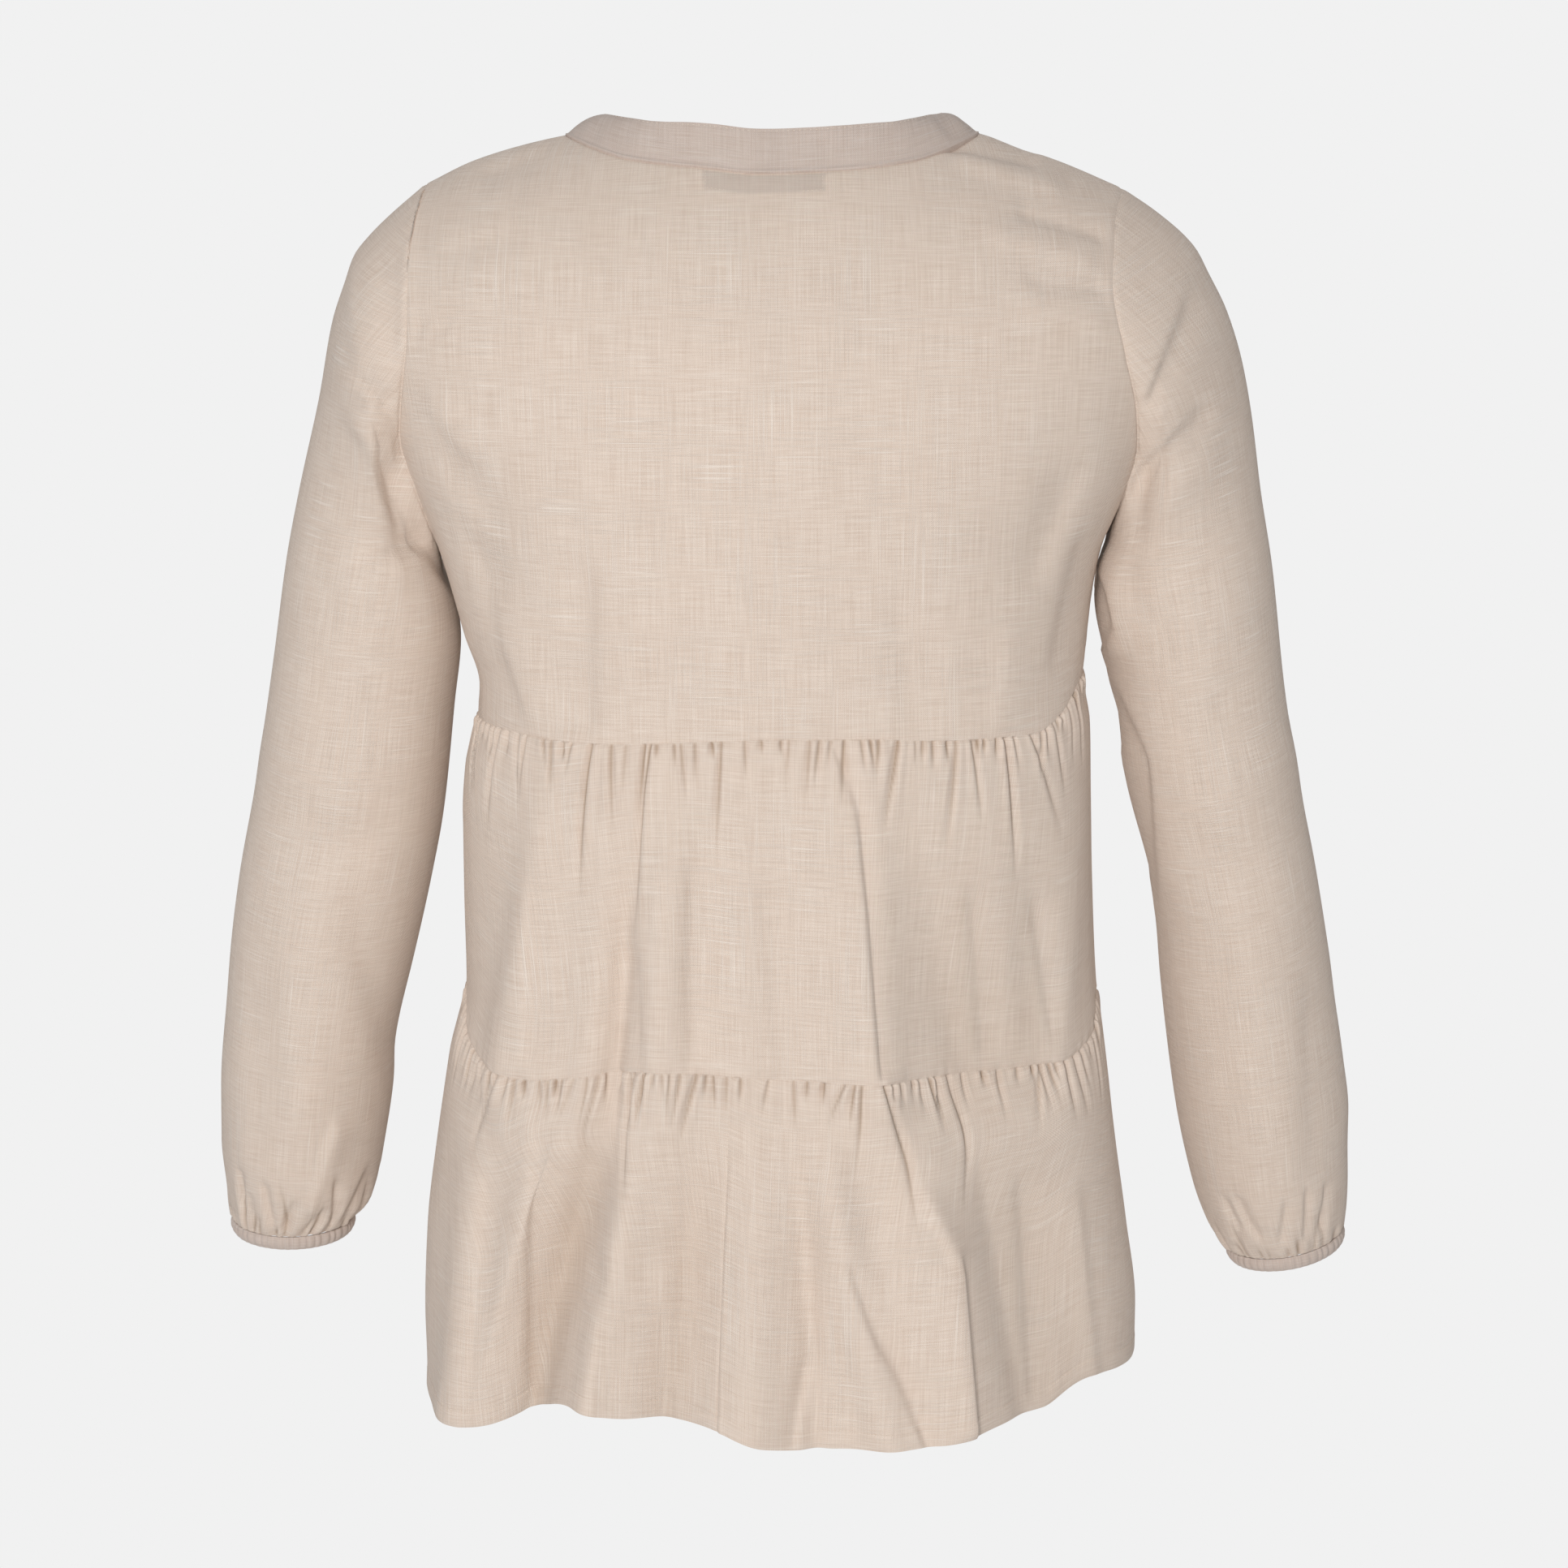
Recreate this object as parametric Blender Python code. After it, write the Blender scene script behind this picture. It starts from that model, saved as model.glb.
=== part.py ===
"""A tiered cotton blouse, filled out as if worn: a bodice with a banded V neck, two gathered
tiers below it, and long sleeves drawn in at elastic cuffs.

Frame in metres: +Z up, +X to the right when seen from behind, -Y towards the wearer's back.
The origin is the middle of the neck hole, level with the neck ends of the shoulder seams.
Every cut piece is a wall of cloth of its own, parted from its neighbours at the seams.
"""

import math

import bmesh
import bpy
import numpy as np


def table(names, *rows):
    """A short table: one array for each named column."""
    return dict(zip(names.split(), np.array(rows, dtype=float).T))


# Cloth and seams
CLOTH_WALL = 0.0012
CUFF_WALL = 0.0016
SEAM_GAP = 0.0003
LABEL_GAP = 0.0006
LABEL_WALL = 0.0010

# Mesh fineness: columns across one half of the body, rows down each piece
BODICE_COLUMNS = 20
NECK_COLUMNS = 10
ARMHOLE_ROWS = 12
SIDE_SEAM_ROWS = 4
TIER_COLUMNS = 60
TIER_ROWS = 6
SLEEVE_RINGS = 15
CUFF_COLUMNS = 48
WAIST_STEPS = 720
SAME_POINT = 1e-6

# Body: half-widths to the left and right, and depths of the back and front, by height
SECTION_POWER = 2.3
BODY = table(
    "height left right back front",
    (-0.720, 0.1985, 0.2000, 0.140, 0.142),
    (-0.687, 0.1972, 0.2000, 0.138, 0.140),
    (-0.649, 0.1985, 0.2003, 0.134, 0.138),
    (-0.603, 0.1968, 0.1948, 0.130, 0.136),
    (-0.556, 0.1912, 0.1882, 0.125, 0.132),
    (-0.505, 0.1830, 0.1818, 0.120, 0.128),
    (-0.464, 0.1738, 0.1766, 0.119, 0.126),
    (-0.418, 0.1747, 0.1744, 0.118, 0.124),
    (-0.372, 0.1750, 0.1730, 0.116, 0.121),
    (-0.345, 0.1728, 0.1721, 0.114, 0.119),
    (-0.320, 0.1672, 0.1708, 0.112, 0.118),
    (-0.300, 0.1652, 0.1678, 0.112, 0.120),
    (-0.272, 0.1735, 0.1700, 0.114, 0.125),
    (-0.250, 0.1795, 0.1725, 0.116, 0.128),
    (-0.225, 0.1870, 0.1775, 0.118, 0.131),
    (-0.210, 0.1930, 0.1830, 0.119, 0.132),
    (-0.190, 0.2020, 0.1925, 0.120, 0.132),
    (-0.163, 0.2130, 0.2040, 0.120, 0.130),
    (-0.147, 0.2177, 0.2095, 0.120, 0.128),
    (-0.100, 0.2350, 0.2250, 0.118, 0.120),
    (-0.060, 0.2480, 0.2400, 0.115, 0.112),
    (0.040, 0.2600, 0.2550, 0.110, 0.100),
)

# Shoulder line, carried on over the neck hole: its height by the distance from the middle
SHOULDER = table(
    "across height",
    (-0.1925, -0.0268),
    (-0.1657, -0.0139),
    (-0.1357, -0.0047),
    (-0.1165, -0.0005),
    (0.0000, 0.0220),
    (0.1090, 0.0005),
    (0.1308, -0.0070),
    (0.1552, -0.0155),
    (0.1865, -0.0288),
)
SHOULDER_ROUND_MIDDLE = 0.17
SHOULDER_ROUND_END = 0.11
SHOULDER_REACH = 0.19
SHOULDER_POWER = 0.62
NECK_LEFT = -0.1165
NECK_RIGHT = 0.1090

# Back neck seam: its height by the distance from the middle
BACK_NECK = table(
    "across height",
    (-0.1165, -0.0005),
    (-0.0992, -0.0076),
    (-0.0789, -0.0135),
    (-0.0381, -0.0180),
    (-0.0106, -0.0206),
    (0.0366, -0.0187),
    (0.0706, -0.0144),
    (0.0878, -0.0093),
    (0.1090, 0.0000),
)
V_BOTTOM = -0.192
V_BOW = 0.006
BAND_WIDTH = 0.0250
BAND_LEAN = math.radians(20)
BAND_END_TILT = math.radians(62)
BAND_TILT_POWER = 1.6
BAND_BOW = 0.0030

# Armholes: distance from the middle at the back and at the front, by height
ARMHOLE_SHARE = 0.684
ARMHOLE_LEFT = table(
    "height back front",
    (-0.2250, 0.1870, 0.1870),
    (-0.2100, 0.1915, 0.1895),
    (-0.1900, 0.1980, 0.1925),
    (-0.1630, 0.2050, 0.1950),
    (-0.1470, 0.2039, 0.1935),
    (-0.1370, 0.2026, 0.1910),
    (-0.1100, 0.1992, 0.1870),
    (-0.0650, 0.1980, 0.1870),
    (-0.0268, 0.1925, 0.1925),
)
ARMHOLE_RIGHT = table(
    "height back front",
    (-0.2105, 0.1828, 0.1828),
    (-0.1900, 0.1885, 0.1845),
    (-0.1680, 0.1935, 0.1850),
    (-0.1470, 0.1920, 0.1820),
    (-0.1170, 0.1850, 0.1750),
    (-0.0800, 0.1780, 0.1700),
    (-0.0450, 0.1810, 0.1760),
    (-0.0288, 0.1865, 0.1865),
)

# Level seams and hem: height by place, from the left side seam (-1) to the right one (1)
WAIST_SEAM = table(
    "place back front",
    (-1.000, -0.3165, -0.3165),
    (-0.880, -0.3190, -0.3180),
    (-0.620, -0.3220, -0.3200),
    (-0.240, -0.3195, -0.3220),
    (0.000, -0.3180, -0.3225),
    (0.240, -0.3180, -0.3220),
    (0.540, -0.3200, -0.3200),
    (0.800, -0.3195, -0.3150),
    (0.910, -0.3100, -0.3080),
    (1.000, -0.2920, -0.2920),
)
LOWER_SEAM = table(
    "place back front",
    (-1.000, -0.4680, -0.4680),
    (-0.960, -0.4890, -0.4840),
    (-0.880, -0.4990, -0.4940),
    (-0.740, -0.5040, -0.4990),
    (-0.350, -0.4955, -0.5010),
    (0.000, -0.4995, -0.5020),
    (0.590, -0.5010, -0.4990),
    (0.865, -0.5005, -0.4940),
    (0.975, -0.4910, -0.4830),
    (1.000, -0.4730, -0.4730),
)
HEM = table(
    "place back front",
    (-1.000, -0.6940, -0.6940),
    (-0.820, -0.6985, -0.6930),
    (-0.700, -0.6860, -0.6900),
    (-0.540, -0.6790, -0.6870),
    (-0.390, -0.6840, -0.6900),
    (-0.170, -0.6860, -0.6960),
    (0.000, -0.6950, -0.6980),
    (0.100, -0.6975, -0.6970),
    (0.420, -0.6945, -0.6900),
    (0.590, -0.6890, -0.6880),
    (0.760, -0.6870, -0.6890),
    (0.890, -0.6745, -0.6850),
    (1.000, -0.6755, -0.6755),
)

# Gathers: every second column is drawn in, most strongly a little below the seam, unevenly,
# and least of all at the side seams
GATHER_DEPTH = 0.0013
GATHER_UNEVEN_SIZE = 0.30
GATHER_UNEVEN_PACE = 2.4
GATHER_UNEVEN_START = 0.7
SIDE_CALM = 0.35
GATHER_FADE = table(
    "down strength",
    (0.0, 0.35),
    (0.17, 1.00),
    (0.34, 0.70),
    (0.50, 0.35),
    (0.67, 0.12),
    (1.0, 0.00),
)

# Broad folds of the tiers: where each runs from seam to hem, how far it stands out there
# (in, if negative), how wide it is, and how far down it starts
MIDDLE_BACK_FOLDS = table(
    "top low lift width start",
    (-0.158, -0.168, 0.0035, 0.016, 0.0),
    (-0.128, -0.135, -0.0035, 0.012, 0.0),
    (-0.112, -0.112, 0.0040, 0.018, 0.1),
    (-0.077, -0.082, -0.0035, 0.012, 0.0),
    (-0.052, -0.060, 0.0030, 0.016, 0.1),
    (-0.030, -0.038, -0.0030, 0.013, 0.0),
    (0.004, 0.006, 0.0040, 0.024, 0.1),
    (0.042, 0.058, -0.0060, 0.014, 0.0),
    (0.060, 0.086, 0.0040, 0.020, 0.1),
    (0.090, 0.104, -0.0025, 0.014, 0.0),
    (0.118, 0.124, 0.0035, 0.018, 0.1),
    (0.142, 0.150, -0.0030, 0.013, 0.0),
    (0.160, 0.168, 0.0030, 0.016, 0.0),
)
MIDDLE_FRONT_FOLDS = table(
    "top low lift width start",
    (-0.140, -0.148, -0.0035, 0.014, 0.0),
    (-0.110, -0.118, 0.0040, 0.020, 0.1),
    (-0.068, -0.074, -0.0035, 0.014, 0.0),
    (-0.032, -0.030, 0.0035, 0.020, 0.1),
    (0.006, 0.004, -0.0045, 0.015, 0.0),
    (0.044, 0.050, 0.0040, 0.022, 0.1),
    (0.084, 0.090, -0.0035, 0.014, 0.0),
    (0.118, 0.126, 0.0040, 0.019, 0.1),
    (0.148, 0.156, -0.0030, 0.013, 0.0),
)
LOWER_BACK_FOLDS = table(
    "top low lift width start",
    (-0.158, -0.176, 0.0090, 0.022, 0.0),
    (-0.134, -0.137, -0.0070, 0.016, 0.1),
    (-0.100, -0.100, -0.0100, 0.026, 0.1),
    (-0.062, -0.056, 0.0110, 0.022, 0.1),
    (-0.026, -0.034, -0.0060, 0.012, 0.3),
    (-0.006, -0.004, 0.0060, 0.018, 0.1),
    (0.036, 0.034, 0.0080, 0.024, 0.1),
    (0.058, 0.086, 0.0140, 0.022, 0.1),
    (0.094, 0.118, -0.0110, 0.020, 0.1),
    (0.126, 0.150, -0.0060, 0.018, 0.1),
    (0.152, 0.176, 0.0060, 0.018, 0.1),
)
LOWER_FRONT_FOLDS = table(
    "top low lift width start",
    (-0.152, -0.170, 0.0080, 0.020, 0.0),
    (-0.122, -0.134, -0.0090, 0.020, 0.1),
    (-0.084, -0.094, 0.0110, 0.024, 0.1),
    (-0.044, -0.052, -0.0080, 0.018, 0.1),
    (-0.006, -0.008, 0.0120, 0.026, 0.1),
    (0.034, 0.040, -0.0080, 0.018, 0.1),
    (0.072, 0.082, 0.0110, 0.024, 0.1),
    (0.112, 0.128, -0.0090, 0.020, 0.1),
    (0.146, 0.164, 0.0080, 0.020, 0.0),
)
FOLD_RUN_IN = 0.15
FOLD_HANDOVER = 0.5
BACK_PANEL_SEAM = -0.030
BACK_PANEL_DRIFT = -0.030

# Sleeves seen from behind: distance of each edge from the middle, by height
SLEEVE_OUTER_LEFT = table(
    "height across",
    (-0.6110, 0.3124),
    (-0.5906, 0.3138),
    (-0.5635, 0.3168),
    (-0.5312, 0.3163),
    (-0.4814, 0.3118),
    (-0.4465, 0.3082),
    (-0.4091, 0.3027),
    (-0.3604, 0.2931),
    (-0.2874, 0.2812),
    (-0.2315, 0.2730),
    (-0.1926, 0.2651),
    (-0.1427, 0.2533),
    (-0.1011, 0.2450),
    (-0.0793, 0.2375),
    (-0.0655, 0.2324),
    (-0.0549, 0.2240),
    (-0.0439, 0.2127),
    (-0.0268, 0.1925),
)
SLEEVE_INNER_LEFT = table(
    "height across",
    (-0.6115, 0.2430),
    (-0.5993, 0.2336),
    (-0.5635, 0.2240),
    (-0.4989, 0.2138),
    (-0.4611, 0.2060),
    (-0.4119, 0.1951),
    (-0.3803, 0.1888),
    (-0.3604, 0.1860),
    (-0.3158, 0.1812),
    (-0.2760, 0.1770),
    (-0.2550, 0.1795),
    (-0.2380, 0.1862),
    (-0.2250, 0.1870),
)
SLEEVE_OUTER_RIGHT = table(
    "height across",
    (-0.6165, 0.3218),
    (-0.5785, 0.3231),
    (-0.5485, 0.3232),
    (-0.5165, 0.3195),
    (-0.4465, 0.3081),
    (-0.4030, 0.3003),
    (-0.3604, 0.2912),
    (-0.3043, 0.2815),
    (-0.2369, 0.2735),
    (-0.1953, 0.2665),
    (-0.1534, 0.2607),
    (-0.1234, 0.2547),
    (-0.0957, 0.2456),
    (-0.0740, 0.2345),
    (-0.0629, 0.2286),
    (-0.0549, 0.2217),
    (-0.0412, 0.2051),
    (-0.0288, 0.1865),
)
SLEEVE_INNER_RIGHT = table(
    "height across",
    (-0.6290, 0.2556),
    (-0.6114, 0.2445),
    (-0.5877, 0.2350),
    (-0.5485, 0.2258),
    (-0.5046, 0.2192),
    (-0.4696, 0.2150),
    (-0.4362, 0.2118),
    (-0.4003, 0.2030),
    (-0.3604, 0.1938),
    (-0.3208, 0.1868),
    (-0.2911, 0.1820),
    (-0.2546, 0.1752),
    (-0.2300, 0.1800),
    (-0.2105, 0.1828),
)
SLEEVE_DEPTH = table(
    "down half forward tilt",
    (0.00, 0.0500, 0.004, 0.00),
    (0.12, 0.0500, 0.010, 0.00),
    (0.25, 0.0530, 0.018, 0.00),
    (0.45, 0.0550, 0.022, 0.02),
    (0.65, 0.0540, 0.028, 0.08),
    (0.85, 0.0540, 0.037, 0.12),
    (0.94, 0.0470, 0.042, 0.15),
    (1.00, 0.0345, 0.046, 0.17),
)

# Sleeve sections: how they crowd together at the underarm, where the inner edge is shorter
INNER_CROWDING = 1.75
INNER_START = 0.35
INNER_START_POWER = 6
RING_CROWDING = 0.55
OUTLINE_STEPS = 400

# Sleeve shape: how far down it still follows the armhole, and its gathers above the cuff
ARMHOLE_FADE = 0.34
SLEEVE_GATHER_DEPTH = 0.0016
SLEEVE_GATHER_START = 0.78
SLEEVE_UNEVEN_SIZE = 0.25
SLEEVE_UNEVEN_PACE = 1.9

# Cuffs: the elastic channel at the end of each sleeve
CUFF_HEIGHT = 0.0080
CUFF_TAPER = 0.0012
CUFF_BULGE = 0.0006
CUFF_RIB = 0.0006

# Plain label inside the back neck: its ends across, its top and bottom in rows of the bodice
LABEL_LEFT = -0.0402
LABEL_RIGHT = 0.0244
LABEL_TOP = 0.15
LABEL_BOTTOM = 1.97

# Colours of the cloth and the label, as linear red, green and blue
CLOTH_COLOUR = (0.66, 0.55, 0.45, 1.0)
BAND_COLOUR = (0.64, 0.53, 0.44, 1.0)
CUFF_COLOUR = (0.62, 0.51, 0.42, 1.0)
LABEL_COLOUR = (0.72, 0.64, 0.55, 1.0)
CLOTH_ROUGHNESS = 0.85


def clear_scene():
    for item in list(bpy.data.objects):
        bpy.data.objects.remove(item, do_unlink=True)


def read_smoothly(rows, key, column, wanted):
    """Reads a column on a smooth curve through its rows that never overshoots them."""
    places, values = rows[key], rows[column]
    slopes = np.diff(values) / np.diff(places)
    tangents = np.zeros_like(values)
    tangents[0], tangents[-1] = slopes[0], slopes[-1]
    same_way = slopes[:-1] * slopes[1:] > 0
    total = slopes[:-1] + slopes[1:]
    level = np.zeros_like(total)
    tangents[1:-1] = np.divide(2 * slopes[:-1] * slopes[1:], total, out=level, where=same_way)
    wanted = np.clip(np.asarray(wanted, dtype=float), places[0], places[-1])
    index = np.clip(np.searchsorted(places, wanted, side="right") - 1, 0, len(slopes) - 1)
    step = places[index + 1] - places[index]
    part = (wanted - places[index]) / step
    rest = 1 - part
    return (
        values[index] * (1 + 2 * part) * rest**2
        + tangents[index] * step * part * rest**2
        + values[index + 1] * (1 + 2 * rest) * part**2
        - tangents[index + 1] * step * rest * part**2
    )


def smooth_step(value):
    value = np.clip(value, 0, 1)
    return value * value * (3 - 2 * value)


def half_width(across, height):
    left = read_smoothly(BODY, "height", "left", height)
    right = read_smoothly(BODY, "height", "right", height)
    return np.where(np.asarray(across) < 0, left, right)


def body_depth(across, height, face):
    """Distance of the cloth from the plane of the side seams, on the back or the front."""
    share = np.minimum(abs(across) / half_width(across, height), 1)
    section = (1 - share**SECTION_POWER) ** (1 / SECTION_POWER)
    outwards = abs(across) / SHOULDER_REACH
    reach = SHOULDER_ROUND_MIDDLE + (SHOULDER_ROUND_END - SHOULDER_ROUND_MIDDLE) * outwards
    top = read_smoothly(SHOULDER, "across", "height", across)
    drop = np.clip((top - height) / reach, 0, 1)
    return read_smoothly(BODY, "height", face, height) * section * (drop * (2 - drop)) ** SHOULDER_POWER


def even_places(count, face):
    """Places from -1 to 1 that lie evenly along the cloth of one half of the waist."""
    angles = np.linspace(0, math.pi, WAIST_STEPS + 1)
    places = -np.sign(np.cos(angles)) * abs(np.cos(angles)) ** (2 / SECTION_POWER)
    waist = read_smoothly(WAIST_SEAM, "place", face, places)
    across = places * half_width(places, waist)
    depth = read_smoothly(BODY, "height", face, waist) * np.sin(angles) ** (2 / SECTION_POWER)
    lengths = np.concatenate([[0], np.cumsum(np.hypot(np.diff(across), np.diff(depth)))])
    angles_wanted = np.interp(np.linspace(0, lengths[-1], count + 1), lengths, angles)
    cosines = -np.cos(angles_wanted)
    cosines[0], cosines[-1] = -1, 1
    return np.sign(cosines) * abs(cosines) ** (2 / SECTION_POWER)


def section_points(places, heights, face):
    """Points of the plain body at each place and height, without any fold."""
    across = places * half_width(places, heights)
    share = (1 - np.minimum(abs(places), 1) ** SECTION_POWER) ** (1 / SECTION_POWER)
    depth = read_smoothly(BODY, "height", face, heights) * share
    side = -1 if face == "back" else 1
    return np.stack([across, side * depth, heights], axis=-1)


def armhole_across(side, face, heights):
    rows = ARMHOLE_LEFT if side < 0 else ARMHOLE_RIGHT
    return side * read_smoothly(rows, "height", face, heights)


def neck_top(face):
    """The bodice's top edge, from the left shoulder point to the right one."""
    shoulder_columns = (BODICE_COLUMNS - NECK_COLUMNS) // 2
    left = np.linspace(SHOULDER["across"][0], NECK_LEFT, shoulder_columns + 1)
    right = np.linspace(NECK_RIGHT, SHOULDER["across"][-1], shoulder_columns + 1)
    left_half = np.linspace(NECK_LEFT, 0, NECK_COLUMNS // 2 + 1)
    right_half = np.linspace(0, NECK_RIGHT, NECK_COLUMNS // 2 + 1)
    neck = np.concatenate([left_half, right_half[1:]])
    if face == "back":
        heights = read_smoothly(BACK_NECK, "across", "height", neck)
    else:
        share = np.where(neck < 0, neck / NECK_LEFT, neck / NECK_RIGHT)
        heights = V_BOTTOM * (1 - share) - V_BOW * np.sin(math.pi * share)
    across = np.concatenate([left[:-1], neck, right[1:]])
    shoulder = read_smoothly(SHOULDER, "across", "height", across)
    heights = np.concatenate([shoulder[:shoulder_columns], heights, shoulder[-shoulder_columns:]])
    heights[shoulder_columns] = shoulder[shoulder_columns]
    heights[-shoulder_columns - 1] = shoulder[-shoulder_columns - 1]
    return across, heights


def bodice_rows():
    """How far down the bodice each row lies: the armhole's rows, then the side seam's."""
    angles = np.linspace(0, math.pi, ARMHOLE_ROWS + 1)
    armhole = ARMHOLE_SHARE * (1 - np.cos(angles)) / 2
    side_seam = np.linspace(ARMHOLE_SHARE, 1, SIDE_SEAM_ROWS + 1)
    return np.concatenate([armhole, side_seam[1:]])


def bodice_grid(face):
    """Outer points of the bodice's back or front, row by row from its top edge to the waist."""
    top_across, top_heights = neck_top(face)
    places = even_places(BODICE_COLUMNS, face)
    waist = read_smoothly(WAIST_SEAM, "place", face, places)
    waist_points = section_points(places, waist, face)
    top_share = (top_across - top_across[0]) / (top_across[-1] - top_across[0])
    low_across = waist_points[:, 0]
    low_share = (low_across - low_across[0]) / (low_across[-1] - low_across[0])
    side = -1 if face == "back" else 1
    grid = []
    for row, down in enumerate(bodice_rows()):
        heights = top_heights + (waist - top_heights) * down
        if row <= ARMHOLE_ROWS:
            edges = [float(armhole_across(end, face, heights[column])) for end, column in ((-1, 0), (1, -1))]
        else:
            edges = [float(end * half_width(end, heights[column])) for end, column in ((-1, 0), (1, -1))]
        share = top_share + (low_share - top_share) * smooth_step(down / ARMHOLE_SHARE)
        across = edges[0] + (edges[1] - edges[0]) * share
        depth = body_depth(across, heights, face)
        if row == 0:
            shoulder_columns = (BODICE_COLUMNS - NECK_COLUMNS) // 2
            depth[: shoulder_columns + 1] = 0
            depth[-shoulder_columns - 1 :] = 0
        if row >= ARMHOLE_ROWS:
            depth[0] = 0
            depth[-1] = 0
        grid.append(np.stack([across, side * depth, heights], axis=-1))
    return np.array(grid)


def band_grid(face, seam):
    """The neckband's three rows, from the seam up to its free edge."""
    across = seam[:, 0]
    share = np.where(across < 0, across / NECK_LEFT, across / NECK_RIGHT)
    if face == "back":
        tilt = BAND_END_TILT * share**BAND_TILT_POWER
        lean = BAND_LEAN * (1 - share**2)
        sideways = -np.sign(across) * np.sin(tilt)
        forward = np.cos(tilt) * np.sin(lean)
        upward = np.cos(tilt) * np.cos(lean)
        offset = BAND_WIDTH * np.stack([sideways, forward, upward], axis=-1)
        bow = np.stack([np.zeros(len(share)), np.zeros(len(share)), BAND_BOW * share**2], axis=-1)
        return np.array([seam + offset, seam + offset / 2 + bow, seam])
    slope = np.where(across < 0, math.atan2(-V_BOTTOM, -NECK_LEFT), math.atan2(-V_BOTTOM, NECK_RIGHT))
    tilt = slope + (BAND_END_TILT - slope) * share**4
    inward = -np.sign(across) * np.sin(tilt) * BAND_WIDTH
    upward = np.cos(tilt) * BAND_WIDTH
    middle = NECK_COLUMNS // 2
    inward[middle] = 0
    upward[middle] = BAND_WIDTH / np.cos(slope[middle])
    rows = []
    for part in (1.0, 0.5):
        row_across = across + part * inward
        row_heights = seam[:, 2] + part * upward
        depth = body_depth(row_across, row_heights, "front")
        depth = depth + (seam[:, 1] - depth) * smooth_step(share)
        row_heights = row_heights + 4 * part * (1 - part) * BAND_BOW * share**2
        rows.append(np.stack([row_across, depth, row_heights], axis=-1))
    return np.array([rows[0], rows[1], seam])


def fold_relief(folds, across, down):
    """How far the broad folds push the cloth out at each point of a tier."""
    relief = np.zeros_like(across)
    for top, low, lift, width, start in zip(*folds.values()):
        middle = top + (low - top) * down
        grown = smooth_step((down - start + FOLD_RUN_IN) / (1 + FOLD_RUN_IN - start))
        relief += lift * grown * np.exp(-(((across - middle) / width) ** 2))
    return relief


def tier_grid(face, upper, lower, folds, upper_columns, folds_above=None, drift=0.0):
    """Outer points of one half of a tier, from its gathered seam down to its lower edge.

    The tier starts on the folds of the one above it, folds_above, and loses them lower down.
    Its threads drift sideways by the share drift of the half-width on the way down.
    """
    places = even_places(TIER_COLUMNS, face)
    above = read_smoothly(upper, "place", face, even_places(upper_columns, face))
    top = np.interp(np.linspace(0, upper_columns, TIER_COLUMNS + 1), np.arange(upper_columns + 1), above)
    bottom = read_smoothly(lower, "place", face, places)
    columns = np.arange(TIER_COLUMNS + 1)
    wave = np.sin(GATHER_UNEVEN_PACE * columns + GATHER_UNEVEN_START)
    uneven = 1 - GATHER_UNEVEN_SIZE * (1 - wave)
    zigzag = np.where(columns % 2 == 0, 1.0, -1.0) * uneven
    at_side = np.sin(math.pi * columns / TIER_COLUMNS) ** SIDE_CALM
    grid = []
    for down in np.linspace(0, 1, TIER_ROWS + 1):
        heights = top + (bottom - top) * down
        plain = section_points(places + drift * down * (1 - places**2), heights, face)
        outward = np.gradient(plain, axis=0)
        outward = np.stack([outward[:, 1], -outward[:, 0], np.zeros(len(places))], axis=-1)
        outward = outward / np.linalg.norm(outward, axis=1)[:, None]
        if face == "front":
            outward = -outward
        outward[0] = (-1, 0, 0)
        outward[-1] = (1, 0, 0)
        strength = read_smoothly(GATHER_FADE, "down", "strength", down)
        relief = fold_relief(folds, plain[:, 0], down)
        if folds_above is not None:
            own = smooth_step(down / FOLD_HANDOVER)
            relief = relief * own + fold_relief(folds_above, plain[:, 0], 1.0) * (1 - own)
        push = GATHER_DEPTH * strength * zigzag + relief
        grid.append(plain + outward * (push * at_side)[:, None])
    return np.array(grid)


def outline_points(rows, side, shares):
    """Points of a sleeve's edge, spaced along it as the shares say."""
    heights = np.linspace(rows["height"][-1], rows["height"][0], OUTLINE_STEPS)
    across = side * read_smoothly(rows, "height", "across", heights)
    lengths = np.concatenate([[0], np.cumsum(np.hypot(np.diff(across), np.diff(heights)))])
    wanted = np.asarray(shares) * lengths[-1]
    return np.stack([np.interp(wanted, lengths, across), np.interp(wanted, lengths, heights)], axis=-1)


def armhole_loop(back, front, side):
    """The armhole's points, from the -X side round by the back: shared by both bodice pieces."""
    column = 0 if side < 0 else -1
    back_edge = back[: ARMHOLE_ROWS + 1, column]
    front_edge = front[: ARMHOLE_ROWS + 1, column]
    if side < 0:
        return np.concatenate([back_edge, front_edge[-2:0:-1]])
    return np.concatenate([back_edge[::-1], front_edge[1:-1]])


def sleeve_frame(side, share):
    """Centre of the sleeve's section, and its two half-axes: towards its outer edge and its front."""
    outer_rows = SLEEVE_OUTER_LEFT if side < 0 else SLEEVE_OUTER_RIGHT
    inner_rows = SLEEVE_INNER_LEFT if side < 0 else SLEEVE_INNER_RIGHT
    inner_share = share**INNER_CROWDING + INNER_START * share * (1 - share) ** INNER_START_POWER
    outer = outline_points(outer_rows, side, [share])[0]
    inner = outline_points(inner_rows, side, [inner_share])[0]
    half = float(read_smoothly(SLEEVE_DEPTH, "down", "half", share))
    forward = float(read_smoothly(SLEEVE_DEPTH, "down", "forward", share))
    tilt = float(read_smoothly(SLEEVE_DEPTH, "down", "tilt", share))
    centre = np.array([(outer[0] + inner[0]) / 2, forward, (outer[1] + inner[1]) / 2])
    reach = np.array([(outer[0] - inner[0]) / 2, 0, (outer[1] - inner[1]) / 2])
    across = half * np.array([0, math.cos(tilt), math.sin(tilt)])
    return centre, reach, across


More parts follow.
